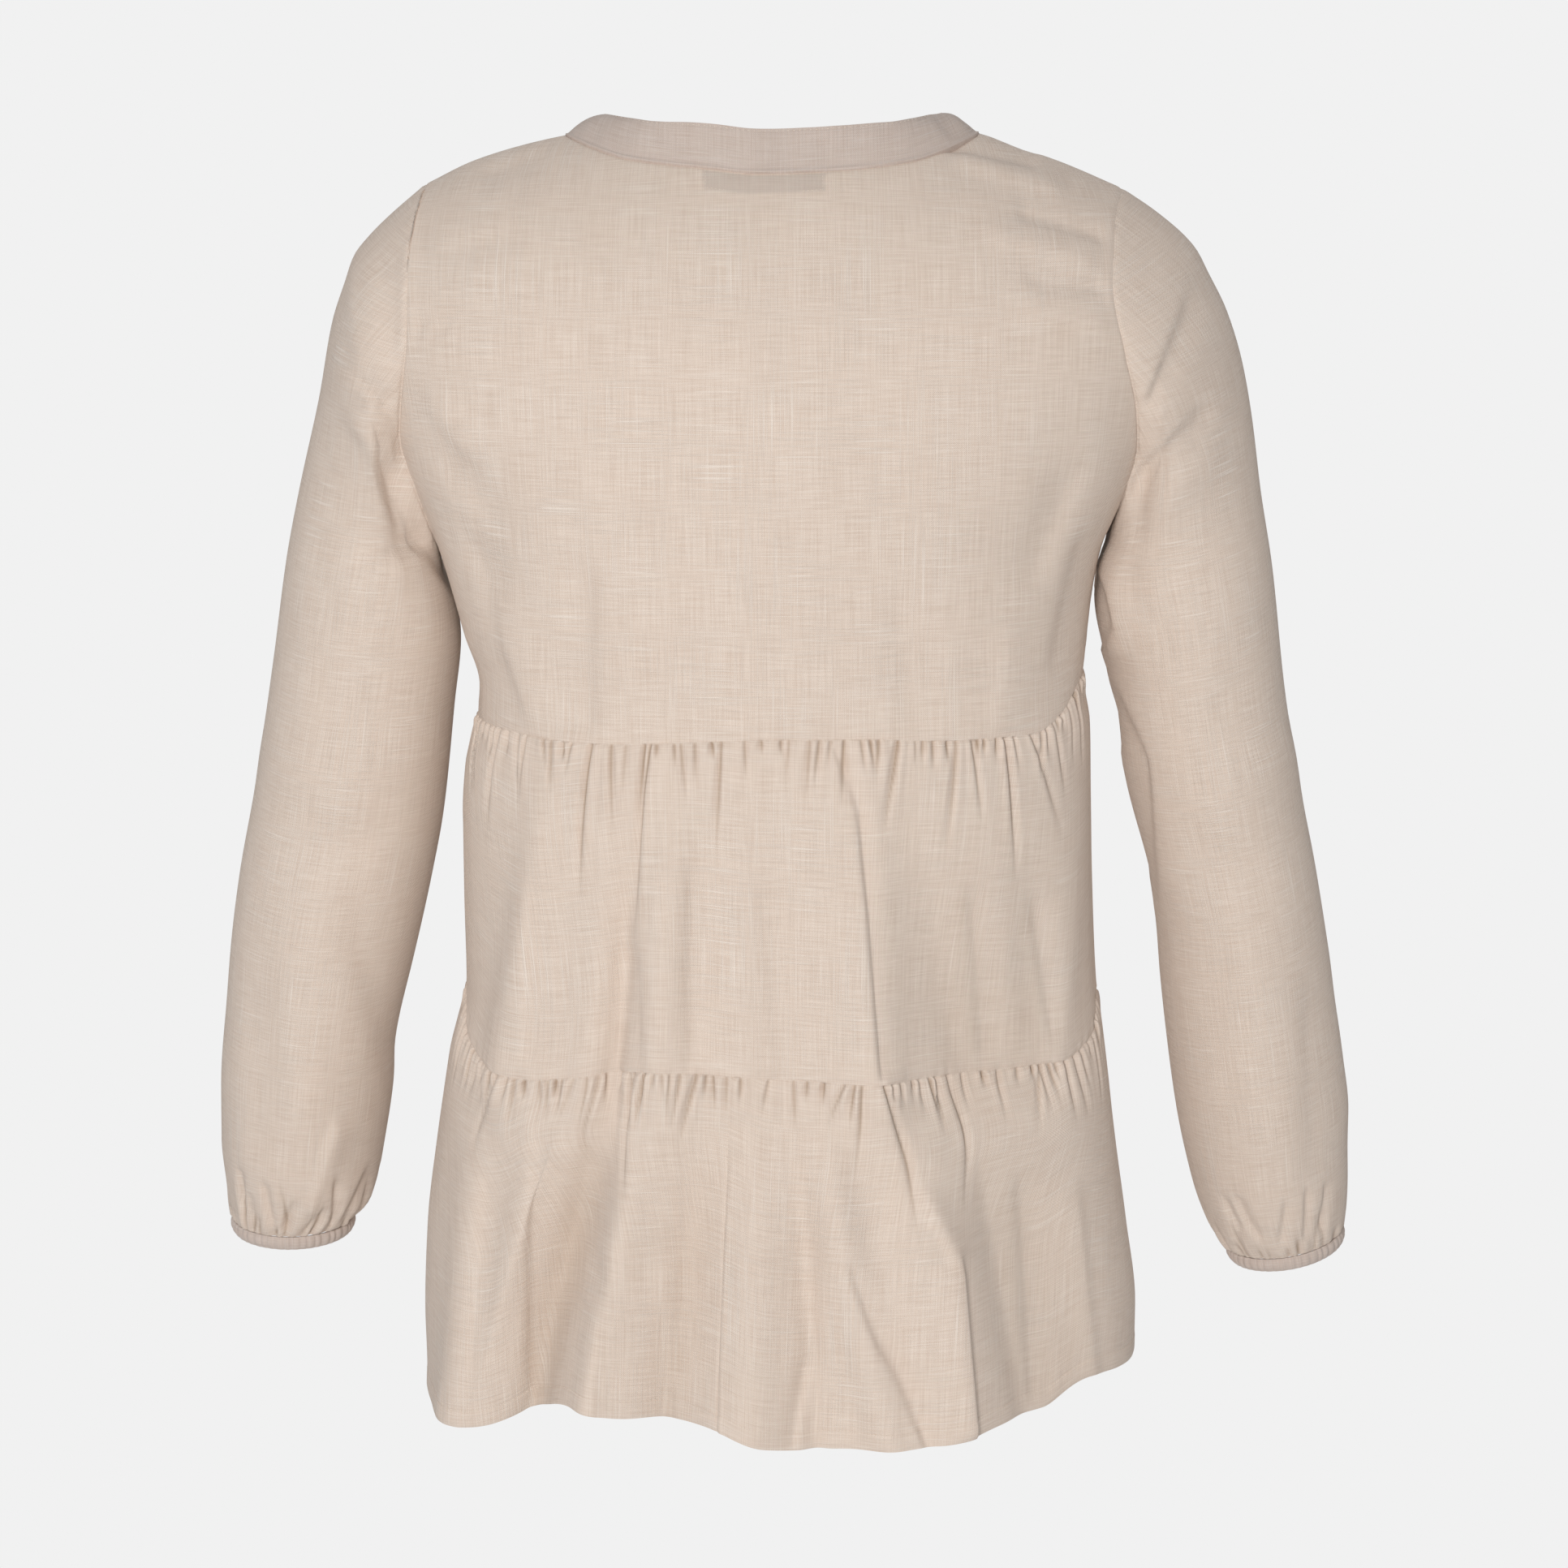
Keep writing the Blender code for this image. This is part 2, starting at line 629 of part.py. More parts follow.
def sleeve_ring(side, share, count, push=0.0):
    """One section of a sleeve, from the -X side round by the back, pushed outwards by push."""
    centre, reach, across = sleeve_frame(side, share)
    angles = np.linspace(0, 2 * math.pi, count, endpoint=False)
    reach_size, across_size = np.linalg.norm(reach), np.linalg.norm(across)
    along = -side * np.cos(angles) * (reach_size + push)
    beside = -np.sin(angles) * (across_size + push)
    return centre + np.outer(along, reach / reach_size) + np.outer(beside, across / across_size)


def sleeve_grid(side, loop):
    """Outer points of a sleeve: its first ring is the armhole, its last the cuff seam."""
    count = len(loop)
    rest = loop - sleeve_ring(side, 0.0, count)
    wave = np.sin(SLEEVE_UNEVEN_PACE * np.arange(count) + side)
    uneven = 1 - SLEEVE_UNEVEN_SIZE * (1 - wave)
    zigzag = np.where(np.arange(count) % 2 == 0, 1.0, -1.0) * uneven
    rings = []
    even = np.linspace(0, 1, SLEEVE_RINGS + 1)
    for share in even - RING_CROWDING * np.sin(2 * math.pi * even) / (2 * math.pi):
        gathered = smooth_step((share - SLEEVE_GATHER_START) / (1 - SLEEVE_GATHER_START))
        ring = sleeve_ring(side, share, count, SLEEVE_GATHER_DEPTH * gathered * zigzag)
        ring = ring + rest * (1 - smooth_step(share / ARMHOLE_FADE))
        rings.append(ring)
    return np.array(rings)


def sleeve_axis(side):
    _, reach, across = sleeve_frame(side, 1.0)
    axis = np.cross(reach, across)
    axis = axis / np.linalg.norm(axis)
    return axis if axis[2] < 0 else -axis


def cuff_grid(side):
    """Outer points of a cuff: a ribbed ring that carries the sleeve's end on along its axis."""
    axis = sleeve_axis(side)
    ribs = CUFF_RIB * np.where(np.arange(CUFF_COLUMNS) % 2 == 0, 1.0, -1.0)
    rings = []
    for down in (0.0, 0.5, 1.0):
        bulge = math.sin(math.pi * down) * CUFF_BULGE - CUFF_TAPER * down
        ring = sleeve_ring(side, 1.0, CUFF_COLUMNS, ribs + bulge)
        rings.append(ring + axis * CUFF_HEIGHT * down)
    return np.array(rings)


def face_normals(grid, closed):
    """Face normals of a grid, each as long as twice the face's area."""
    following = np.roll(grid, -1, axis=1) if closed else grid[:, 1:]
    here = grid if closed else grid[:, :-1]
    first = following[1:] - here[:-1]
    second = following[:-1] - here[1:]
    return np.cross(first, second)


def shared_normals(pieces):
    """Normals at every point, averaged over the pieces that meet there.

    The back and front of one thing, such as the bodice, count as one piece: their names
    start with the same word.
    """
    sums = {}
    for name, (grid, closed) in pieces.items():
        thing = name.split("_")[0]
        keys = np.round(grid / SAME_POINT).astype(int)
        normals = face_normals(grid, closed)
        for row in range(normals.shape[0]):
            for column in range(normals.shape[1]):
                side = (column + 1) % grid.shape[1]
                for corner in ((row, column), (row + 1, column), (row, side), (row + 1, side)):
                    meeting = sums.setdefault(tuple(keys[corner]), {})
                    meeting[thing] = meeting.get(thing, 0) + normals[row, column]
    result = {}
    for name, (grid, _) in pieces.items():
        normals = np.zeros_like(grid)
        keys = np.round(grid / SAME_POINT).astype(int)
        for place in np.ndindex(grid.shape[:2]):
            for total in sums[tuple(keys[place])].values():
                normals[place] += total / np.linalg.norm(total)
        result[name] = normals / np.linalg.norm(normals, axis=-1)[..., None]
    return result


def turn_across(normals, row, axis):
    """Takes out the part of one row's normals that points across its seam."""
    flat = normals[row] - np.outer(normals[row] @ np.asarray(axis, dtype=float), axis)
    normals[row] = flat / np.linalg.norm(flat, axis=1)[:, None]


def turn_level(normals, part):
    """Takes out the part of the side seam's normals that points to the back or front."""
    flat = normals[part] * (1, 0, 1)
    normals[part] = flat / np.linalg.norm(flat, axis=1)[:, None]


def pulled_back(grid, sides):
    """Moves each edge that is a seam back from it by half of the seam's gap."""
    steps = {
        "top": (np.s_[0, :], np.s_[1, :]),
        "bottom": (np.s_[-1, :], np.s_[-2, :]),
        "first": (np.s_[:, 0], np.s_[:, 1]),
        "last": (np.s_[:, -1], np.s_[:, -2]),
    }
    moved = grid.copy()
    for side in sides.split():
        edge, inside = steps[side]
        way = grid[inside] - grid[edge]
        moved[edge] += way / np.linalg.norm(way, axis=-1)[..., None] * SEAM_GAP / 2
    return moved


def cloth_material(name, colour):
    material = bpy.data.materials.new(name)
    material.use_nodes = True
    shader = material.node_tree.nodes["Principled BSDF"]
    shader.inputs["Base Color"].default_value = colour
    shader.inputs["Roughness"].default_value = CLOTH_ROUGHNESS
    shader.inputs["Metallic"].default_value = 0.0
    return material


def shorter_split(corners):
    """Which corners make the two triangles of a cell, split along its shorter diagonal."""
    if (corners[0].co - corners[2].co).length <= (corners[1].co - corners[3].co).length:
        return (0, 1, 2), (0, 2, 3)
    return (0, 1, 3), (1, 2, 3)


def add_cell(shape, corners, inner_corners=()):
    """Adds a cell, and the same cell of the inner side, split alike so that they stay apart."""
    for triangle in shorter_split(corners):
        shape.faces.new([corners[index] for index in triangle])
        if inner_corners:
            shape.faces.new([inner_corners[index] for index in reversed(triangle)])


def make_wall(name, outer, inner, closed, colour):
    """Builds one closed solid between an outer and an inner grid of points."""
    mesh = bpy.data.meshes.new(name)
    shape = bmesh.new()
    rows, columns = outer.shape[:2]
    out = [[shape.verts.new(point) for point in line] for line in outer]
    into = [[shape.verts.new(point) for point in line] for line in inner]
    last = columns if closed else columns - 1
    for row in range(rows - 1):
        for column in range(last):
            side = (column + 1) % columns
            places = ((row, column), (row + 1, column), (row + 1, side), (row, side))
            add_cell(shape, [out[r][c] for r, c in places], [into[r][c] for r, c in places])
    for column in range(last):
        side = (column + 1) % columns
        add_cell(shape, (out[0][column], out[0][side], into[0][side], into[0][column]))
        add_cell(shape, (out[-1][side], out[-1][column], into[-1][column], into[-1][side]))
    if not closed:
        for row in range(rows - 1):
            add_cell(shape, (out[row + 1][0], out[row][0], into[row][0], into[row + 1][0]))
            add_cell(shape, (out[row][-1], out[row + 1][-1], into[row + 1][-1], into[row][-1]))
    bmesh.ops.recalc_face_normals(shape, faces=shape.faces)
    shape.to_mesh(mesh)
    shape.free()
    mesh.shade_smooth()
    mesh.set_sharp_from_angle(angle=math.radians(50))
    mesh.materials.append(cloth_material(name + "_cloth", colour))
    item = bpy.data.objects.new(name, mesh)
    bpy.context.scene.collection.objects.link(item)
    return item


def make_piece(name, grid, normals, closed, seams, colour, wall=CLOTH_WALL):
    outer = pulled_back(grid, seams)
    inner = pulled_back(grid - normals * wall, seams)
    make_wall(name, outer, inner, closed, colour)
    return inner


def make_label(panel, normals):
    """A plain label on the inside of the back, worked out from the panel's own inner points."""
    across = panel[0][:, 0]
    columns = [LABEL_LEFT, *across[(across > LABEL_LEFT) & (across < LABEL_RIGHT)], LABEL_RIGHT]
    indices = np.arange(len(across))
    places = np.interp(columns, across, indices)
    outer, inner = [], []
    for down in (LABEL_TOP, 1.0, LABEL_BOTTOM):
        row = int(down)
        part = down - row
        line = panel[row] * (1 - part) + panel[row + 1] * part
        inward = -normals[row] * (1 - part) - normals[row + 1] * part
        near = line + inward * LABEL_GAP
        far = near + inward * LABEL_WALL
        outer.append(np.stack([np.interp(places, indices, near[:, axis]) for axis in range(3)], axis=-1))
        inner.append(np.stack([np.interp(places, indices, far[:, axis]) for axis in range(3)], axis=-1))
    make_wall("neck_label", np.array(outer), np.array(inner), False, LABEL_COLOUR)


def build_upper():
    """Bodice, neckband, sleeves and cuffs."""
    back, front = bodice_grid("back"), bodice_grid("front")
    neck = slice((BODICE_COLUMNS - NECK_COLUMNS) // 2, (BODICE_COLUMNS + NECK_COLUMNS) // 2 + 1)
    back_band = band_grid("back", back[0, neck])
    front_band = band_grid("front", front[0, neck])
    pieces = {
        "bodice_back": (back, False),
        "bodice_front": (front[:, ::-1], False),
        "neckband_back": (back_band, False),
        "neckband_front": (front_band[:, ::-1], False),
        "sleeve_left": (sleeve_grid(-1, armhole_loop(back, front, -1)), True),
        "sleeve_right": (sleeve_grid(1, armhole_loop(back, front, 1)), True),
    }
    normals = shared_normals(pieces)
    seams = {
        "bodice_back": "top bottom first last",
        "bodice_front": "top bottom first last",
        "neckband_back": "bottom first last",
        "neckband_front": "bottom first last",
        "sleeve_left": "top bottom",
        "sleeve_right": "top bottom",
    }
    for name in ("bodice_back", "bodice_front"):
        turn_across(normals[name], -1, (0, 0, 1))
        for column in (0, -1):
            turn_level(normals[name], np.s_[ARMHOLE_ROWS:, column])
    turn_level(normals["sleeve_left"], np.s_[:1, ARMHOLE_ROWS])
    turn_level(normals["sleeve_right"], np.s_[:1, 0])
    for side, name in ((-1, "sleeve_left"), (1, "sleeve_right")):
        turn_across(normals[name], -1, sleeve_axis(side))
    for name, (grid, closed) in pieces.items():
        colour = BAND_COLOUR if name.startswith("neckband") else CLOTH_COLOUR
        inner = make_piece(name, grid, normals[name], closed, seams[name], colour)
        if name == "bodice_back":
            make_label(inner, normals[name])
    for side, name in ((-1, "cuff_left"), (1, "cuff_right")):
        grid = cuff_grid(side)
        cuff_normals = shared_normals({name: (grid, True)})[name]
        for row in range(len(grid)):
            turn_across(cuff_normals, row, sleeve_axis(side))
        make_piece(name, grid, cuff_normals, True, "top", CUFF_COLOUR, CUFF_WALL)


def build_tiers():
    """The two gathered tiers; the lower one's back is joined from two panels."""
    middle_back = tier_grid("back", WAIST_SEAM, LOWER_SEAM, MIDDLE_BACK_FOLDS, BODICE_COLUMNS)
    middle_front = tier_grid("front", WAIST_SEAM, LOWER_SEAM, MIDDLE_FRONT_FOLDS, BODICE_COLUMNS)
    lower_back = tier_grid(
        "back", LOWER_SEAM, HEM, LOWER_BACK_FOLDS, TIER_COLUMNS, MIDDLE_BACK_FOLDS, BACK_PANEL_DRIFT
    )
    lower_front = tier_grid("front", LOWER_SEAM, HEM, LOWER_FRONT_FOLDS, TIER_COLUMNS, MIDDLE_FRONT_FOLDS)
    seam = int(np.argmin(abs(lower_back[TIER_ROWS // 2, :, 0] - BACK_PANEL_SEAM)))
    tiers = (
        {
            "middle_tier_back": (middle_back, False),
            "middle_tier_front": (middle_front[:, ::-1], False),
        },
        {
            "lower_tier_back_left": (lower_back[:, : seam + 1], False),
            "lower_tier_back_right": (lower_back[:, seam:], False),
            "lower_tier_front": (lower_front[:, ::-1], False),
        },
    )
    for pieces, seams in zip(tiers, ("top bottom first last", "top first last")):
        normals = shared_normals(pieces)
        for name, (grid, closed) in pieces.items():
            turn_across(normals[name], 0, (0, 0, 1))
            turn_across(normals[name], -1, (0, 0, 1))
            make_piece(name, grid, normals[name], closed, seams, CLOTH_COLOUR)


def main():
    clear_scene()
    build_upper()
    build_tiers()


main()
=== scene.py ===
import math

import bpy
import numpy as np
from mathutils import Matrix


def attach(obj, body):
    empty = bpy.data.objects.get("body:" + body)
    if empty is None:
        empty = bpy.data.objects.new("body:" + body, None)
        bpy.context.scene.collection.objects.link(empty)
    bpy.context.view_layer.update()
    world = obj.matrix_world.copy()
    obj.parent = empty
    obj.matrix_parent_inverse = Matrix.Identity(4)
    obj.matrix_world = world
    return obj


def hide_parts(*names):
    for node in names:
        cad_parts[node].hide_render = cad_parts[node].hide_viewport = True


# A tiered blouse in slub cotton, filled out as if worn and seen from behind.
# The frame is the CAD part's, in metres: +Z up, +X to the right, -Y towards the wearer's back.
# Every piece of cloth is a thin closed shell on the form of its solid, with the creases added.

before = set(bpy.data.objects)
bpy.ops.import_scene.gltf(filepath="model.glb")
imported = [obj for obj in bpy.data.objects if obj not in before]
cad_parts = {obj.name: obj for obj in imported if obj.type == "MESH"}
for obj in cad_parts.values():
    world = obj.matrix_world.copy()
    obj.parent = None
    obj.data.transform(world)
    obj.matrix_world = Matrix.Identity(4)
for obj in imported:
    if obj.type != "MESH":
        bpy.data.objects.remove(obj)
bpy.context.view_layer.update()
print("frame loaded:", len(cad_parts), "nodes")


def columns(names, *rows):
    # a short table: one array for each named column
    return dict(zip(names.split(), np.array(rows, dtype=float).T))


def readSmoothly(rows, key, column, wanted):
    # a smooth curve through a table's rows that never overshoots them
    places, values = rows[key], rows[column]
    slopes = np.diff(values) / np.diff(places)
    tangents = np.zeros_like(values)
    tangents[0], tangents[-1] = slopes[0], slopes[-1]
    product, total = slopes[:-1] * slopes[1:], slopes[:-1] + slopes[1:]
    tangents[1:-1] = np.divide(2 * product, total, out=np.zeros_like(total), where=product > 0)
    wanted = np.clip(np.asarray(wanted, dtype=float), places[0], places[-1])
    index = np.clip(np.searchsorted(places, wanted, side="right") - 1, 0, len(slopes) - 1)
    step = places[index + 1] - places[index]
    part = (wanted - places[index]) / step
    rest = 1 - part
    return (
        values[index] * (1 + 2 * part) * rest**2
        + tangents[index] * step * part * rest**2
        + values[index + 1] * (1 + 2 * rest) * part**2
        - tangents[index + 1] * step * rest * part**2
    )


def smoothStep(value):
    value = np.clip(value, 0, 1)
    return value * value * (3 - 2 * value)


def between(ends, share):
    return ends[0] + (ends[1] - ends[0]) * share


def bell(distance, width):
    return np.exp(-((distance / width) ** 2))


def unit(vectors):
    return vectors / np.maximum(np.linalg.norm(vectors, axis=-1), 1e-12)[..., None]


# the body that all pieces hang on, with the CAD part's own sizes

cloth = {
    "thickness": 0.0009,
    "seamDip": 0.0006,  # how far the cloth sinks into a seam
    "seamDipWidth": 0.0012,
    "edgeRound": 0.0004,  # rounding of a turned edge
    "edgeRoundWidth": 0.0010,
    "creaseDepth": 1.6,  # multiplies the heights in the crease tables
    "creaseFade": 1.5,  # how many widths a crease takes to run out at its ends
    "softSide": 1.5,  # how much wider a skewed crease is on its soft side
    "steepSide": 0.35,  # and how much narrower on the other
    "foldShadeDepth": 0.0480,  # depth at which a broad fold gets its full painted shade
}

sectionPower = 2.3
body = columns(
    "height left right back front",
    (-0.720, 0.1985, 0.2000, 0.140, 0.142),
    (-0.687, 0.1972, 0.2000, 0.138, 0.140),
    (-0.649, 0.1985, 0.2003, 0.134, 0.138),
    (-0.603, 0.1968, 0.1948, 0.130, 0.136),
    (-0.556, 0.1912, 0.1882, 0.125, 0.132),
    (-0.505, 0.1830, 0.1818, 0.120, 0.128),
    (-0.464, 0.1738, 0.1766, 0.119, 0.126),
    (-0.418, 0.1747, 0.1744, 0.118, 0.124),
    (-0.372, 0.1750, 0.1730, 0.116, 0.121),
    (-0.345, 0.1728, 0.1721, 0.114, 0.119),
    (-0.320, 0.1672, 0.1708, 0.112, 0.118),
    (-0.300, 0.1652, 0.1678, 0.112, 0.120),
    (-0.272, 0.1735, 0.1700, 0.114, 0.125),
    (-0.250, 0.1795, 0.1725, 0.116, 0.128),
    (-0.225, 0.1870, 0.1775, 0.118, 0.131),
    (-0.210, 0.1930, 0.1830, 0.119, 0.132),
    (-0.190, 0.2020, 0.1925, 0.120, 0.132),
    (-0.163, 0.2130, 0.2040, 0.120, 0.130),
    (-0.147, 0.2177, 0.2095, 0.120, 0.128),
    (-0.100, 0.2350, 0.2250, 0.118, 0.120),
    (-0.060, 0.2480, 0.2400, 0.115, 0.112),
    (0.040, 0.2600, 0.2550, 0.110, 0.100),
)
shoulder = columns(
    "across height",
    (-0.1925, -0.0268),
    (-0.1657, -0.0139),
    (-0.1357, -0.0047),
    (-0.1165, -0.0005),
    (0.0000, 0.0220),
    (0.1090, 0.0005),
    (0.1308, -0.0070),
    (0.1552, -0.0155),
    (0.1865, -0.0288),
)
shoulderForm = {"roundMiddle": 0.17, "roundEnd": 0.11, "reach": 0.19, "power": 0.62}
neckEnds = (-0.1165, 0.1090)
backNeck = columns(
    "across height",
    (-0.1165, -0.0005),
    (-0.0992, -0.0076),
    (-0.0789, -0.0135),
    (-0.0381, -0.0180),
    (-0.0106, -0.0206),
    (0.0366, -0.0187),
    (0.0706, -0.0144),
    (0.0878, -0.0093),
    (0.1090, 0.0000),
)
frontNeck = {"bottom": -0.192, "bow": 0.006}
armhole = {
    -1: columns(
        "height back front",
        (-0.2250, 0.1870, 0.1870),
        (-0.2100, 0.1915, 0.1895),
        (-0.1900, 0.1980, 0.1925),
        (-0.1630, 0.2050, 0.1950),
        (-0.1470, 0.2039, 0.1935),
        (-0.1370, 0.2026, 0.1910),
        (-0.1100, 0.1992, 0.1870),
        (-0.0650, 0.1980, 0.1870),
        (-0.0268, 0.1925, 0.1925),
    ),
    1: columns(
        "height back front",
        (-0.2105, 0.1828, 0.1828),
        (-0.1900, 0.1885, 0.1845),
        (-0.1680, 0.1935, 0.1850),
        (-0.1470, 0.1920, 0.1820),
        (-0.1170, 0.1850, 0.1750),
        (-0.0800, 0.1780, 0.1700),
        (-0.0450, 0.1810, 0.1760),
        (-0.0288, 0.1865, 0.1865),
    ),
}
waistSeam = columns(
    "place back front",
    (-1.000, -0.3165, -0.3165),
    (-0.880, -0.3190, -0.3180),
    (-0.620, -0.3220, -0.3200),
    (-0.240, -0.3195, -0.3220),
    (0.000, -0.3180, -0.3225),
    (0.240, -0.3180, -0.3220),
    (0.540, -0.3200, -0.3200),
    (0.800, -0.3195, -0.3150),
    (0.910, -0.3100, -0.3080),
    (1.000, -0.2920, -0.2920),
)
lowerSeam = columns(
    "place back front",
    (-1.000, -0.4680, -0.4680),
    (-0.960, -0.4890, -0.4840),
    (-0.880, -0.4990, -0.4940),
    (-0.740, -0.5040, -0.4990),
    (-0.350, -0.4955, -0.5010),
    (0.000, -0.4995, -0.5020),
    (0.590, -0.5010, -0.4990),
    (0.865, -0.5005, -0.4940),
    (0.975, -0.4910, -0.4830),
    (1.000, -0.4730, -0.4730),
)
hemLine = columns(
    "place back front",
    (-1.000, -0.6940, -0.6940),
    (-0.820, -0.6985, -0.6930),
    (-0.700, -0.6860, -0.6900),
    (-0.540, -0.6790, -0.6870),
    (-0.390, -0.6840, -0.6900),
    (-0.170, -0.6860, -0.6960),
    (0.000, -0.6950, -0.6980),
    (0.100, -0.6975, -0.6970),
    (0.420, -0.6945, -0.6900),
    (0.590, -0.6890, -0.6880),
    (0.760, -0.6870, -0.6890),
    (0.890, -0.6745, -0.6850),
    (1.000, -0.6755, -0.6755),
)


def halfWidth(across, height):
    left = readSmoothly(body, "height", "left", height)
    right = readSmoothly(body, "height", "right", height)
    return np.where(np.asarray(across) < 0, left, right)


def bodyDepth(across, height, face):
    # distance of the cloth from the plane of the side seams, on the back or the front
    share = np.minimum(abs(across) / halfWidth(across, height), 1)
    section = (1 - share**sectionPower) ** (1 / sectionPower)
    outwards = abs(across) / shoulderForm["reach"]
    rounding = between((shoulderForm["roundMiddle"], shoulderForm["roundEnd"]), outwards)
    drop = np.clip((readSmoothly(shoulder, "across", "height", across) - height) / rounding, 0, 1)
    shoulders = (drop * (2 - drop)) ** shoulderForm["power"]
    return readSmoothly(body, "height", face, height) * section * shoulders


def evenPlaces(count, face):
    # places from -1 to 1 that lie evenly along the cloth of one half of the waist
    angles = np.linspace(0, math.pi, 721)
    places = -np.sign(np.cos(angles)) * abs(np.cos(angles)) ** (2 / sectionPower)
    waist = readSmoothly(waistSeam, "place", face, places)
    across = places * halfWidth(places, waist)
    depth = readSmoothly(body, "height", face, waist) * np.sin(angles) ** (2 / sectionPower)
    lengths = np.concatenate([[0], np.cumsum(np.hypot(np.diff(across), np.diff(depth)))])
    cosines = -np.cos(np.interp(np.linspace(0, lengths[-1], count + 1), lengths, angles))
    cosines[0], cosines[-1] = -1, 1
    return np.sign(cosines) * abs(cosines) ** (2 / sectionPower)


def gridNormals(grid, closed=False):
    # outward normals: rows run down the piece, columns run round it
    down = np.gradient(grid, axis=0)
    if closed:
        along = (np.roll(grid, -1, axis=1) - np.roll(grid, 1, axis=1)) / 2
    else:
        along = np.gradient(grid, axis=1)
    return unit(np.cross(down, along))


def runLengths(grid, axis):
    steps = np.linalg.norm(np.diff(grid, axis=axis), axis=-1)
    start = np.zeros_like(steps[:, :1] if axis == 1 else steps[:1])
    return np.concatenate([start, np.cumsum(steps, axis=axis)], axis=axis)


def edgeDistances(grid, closed=False):
    # how far each point is from the piece's four edges, along the cloth
    downwards = runLengths(grid, 0)
    near = {"top": downwards, "bottom": downwards[-1:] - downwards}
    if not closed:
        along = runLengths(grid, 1)
        near["first"], near["last"] = along, along[:, -1:] - along
    return near


def finishEdges(near, seams, turned=()):
    # cloth sinks into its seams and rounds off at its turned edges
    relief = 0.0
    for side, distance in near.items():
        if side in seams:
            relief = relief - cloth["seamDip"] * bell(distance, cloth["seamDipWidth"])
        if side in turned:
            relief = relief - cloth["edgeRound"] * bell(distance, cloth["edgeRoundWidth"])
    return relief


def join(first, firstEdge, second, secondEdge):
    # sews two pieces: both edges move to the line midway between them, so that no light shows
    middle = (first[firstEdge] + second[secondEdge]) / 2
    first[firstEdge] = middle
    second[secondEdge] = middle


def joinSides(back, front, rows):
    # the side seams; the back's columns run from -x and the front's from +x
    join(back, (rows, 0), front, (rows, -1))
    join(back, (rows, -1), front, (rows, 0))


def alongSeam(line, count):
    # the points of a seam line at another even count of columns
    wanted, given = np.linspace(0, 1, count), np.linspace(0, 1, len(line))
    return np.stack([np.interp(wanted, given, line[:, axis]) for axis in range(3)], axis=-1)


# creases: each runs from (x1, z1) to (x2, z2) in mm as seen from behind or from the front,
# lift is its height in mm (a trough if negative), width its reach, and skew its softer side
creaseColumns = "x1 z1 x2 z2 width lift skew"


def sidedBell(distance, width, skew):
    # steep on one side and soft on the other
    softer, steeper = 1 + cloth["softSide"] * abs(skew), 1 - cloth["steepSide"] * abs(skew)
    return bell(distance, width * np.where(distance * skew > 0, softer, steeper))


def placedCreases(rows, grid):
    relief = np.zeros(grid.shape[:2])
    x, z = grid[..., 0] * 1000, grid[..., 2] * 1000
    for x1, z1, x2, z2, width, lift, skew in zip(*rows.values()):
        length = math.hypot(x2 - x1, z2 - z1)
        wayX, wayZ = (x2 - x1) / length, (z2 - z1) / length
        along = (x - x1) * wayX + (z - z1) * wayZ
        aside = (x - x1) * -wayZ + (z - z1) * wayX
        fade = np.minimum(width * cloth["creaseFade"], length / 2)
        ends = smoothStep((along + fade) / (2 * fade)) * smoothStep((length + fade - along) / (2 * fade))
        relief += lift / 1000 * cloth["creaseDepth"] * ends * sidedBell(aside, width, skew)
    return relief


def paintedShadeMask(relief, full):
    # strength of the painted shade: 1 deep in a fold, where little light comes in, and 0 on open cloth
    return smoothStep(-relief / full)


gather = {
    "fullUntil": 0.25,  # share of its length over which a gather keeps its depth
    "atSeam": 0.3,  # share of its depth at the seam itself, and how soon it gets deep
    "runIn": 0.0014,
    "widening": 0.7,
    "ridgeHeight": 0.35,  # the cloth stands up a little on both sides of the groove
    "ridgePlace": 2.4,
    "ridgeWidth": 1.4,
    "hollow": 0.0030,  # depth at which a groove's painted shade line is full
    "shadeLineWidth": 0.0007,
    "fewLong": 1.7,  # the higher, the fewer of the random ones are long
    "drift": 0.3,
    "clearance": 0.0032,  # least distance from a listed gather
    "closest": 0.45,  # shares of the usual spacing
    "spacingRange": 1.1,
}


def hangingGathers(gathers, run, below):
    # gathers hang from a seam: run is the place along the cloth, below the distance from the seam;
    # the second grid is painted shade, a thin dark line in each where the cloth closes on itself
    relief, closed = np.zeros(run.shape), np.zeros(run.shape)
    full, atSeam = gather["fullUntil"], gather["atSeam"]
    runIn = atSeam + (1 - atSeam) * smoothStep(below / gather["runIn"])
    for start, drift, length, width, lift, skew in gathers:
        along = below / length
        strength = (1 - smoothStep((along - full) / (1 - full))) * runIn
        spread = width * (1 + gather["widening"] * np.clip(along, 0, 1))
        aside = run - (start + drift * along)
        ridges = bell(abs(aside) - gather["ridgePlace"] * spread, gather["ridgeWidth"] * spread)
        relief += strength * lift * sidedBell(aside, spread, skew)
        relief -= strength * lift * gather["ridgeHeight"] * ridges
        # painted shade along the middle of the groove
        line = paintedShadeMask(lift, gather["hollow"]) * bell(aside, gather["shadeLineWidth"])
        closed = np.maximum(closed, strength * line)
    return relief, closed


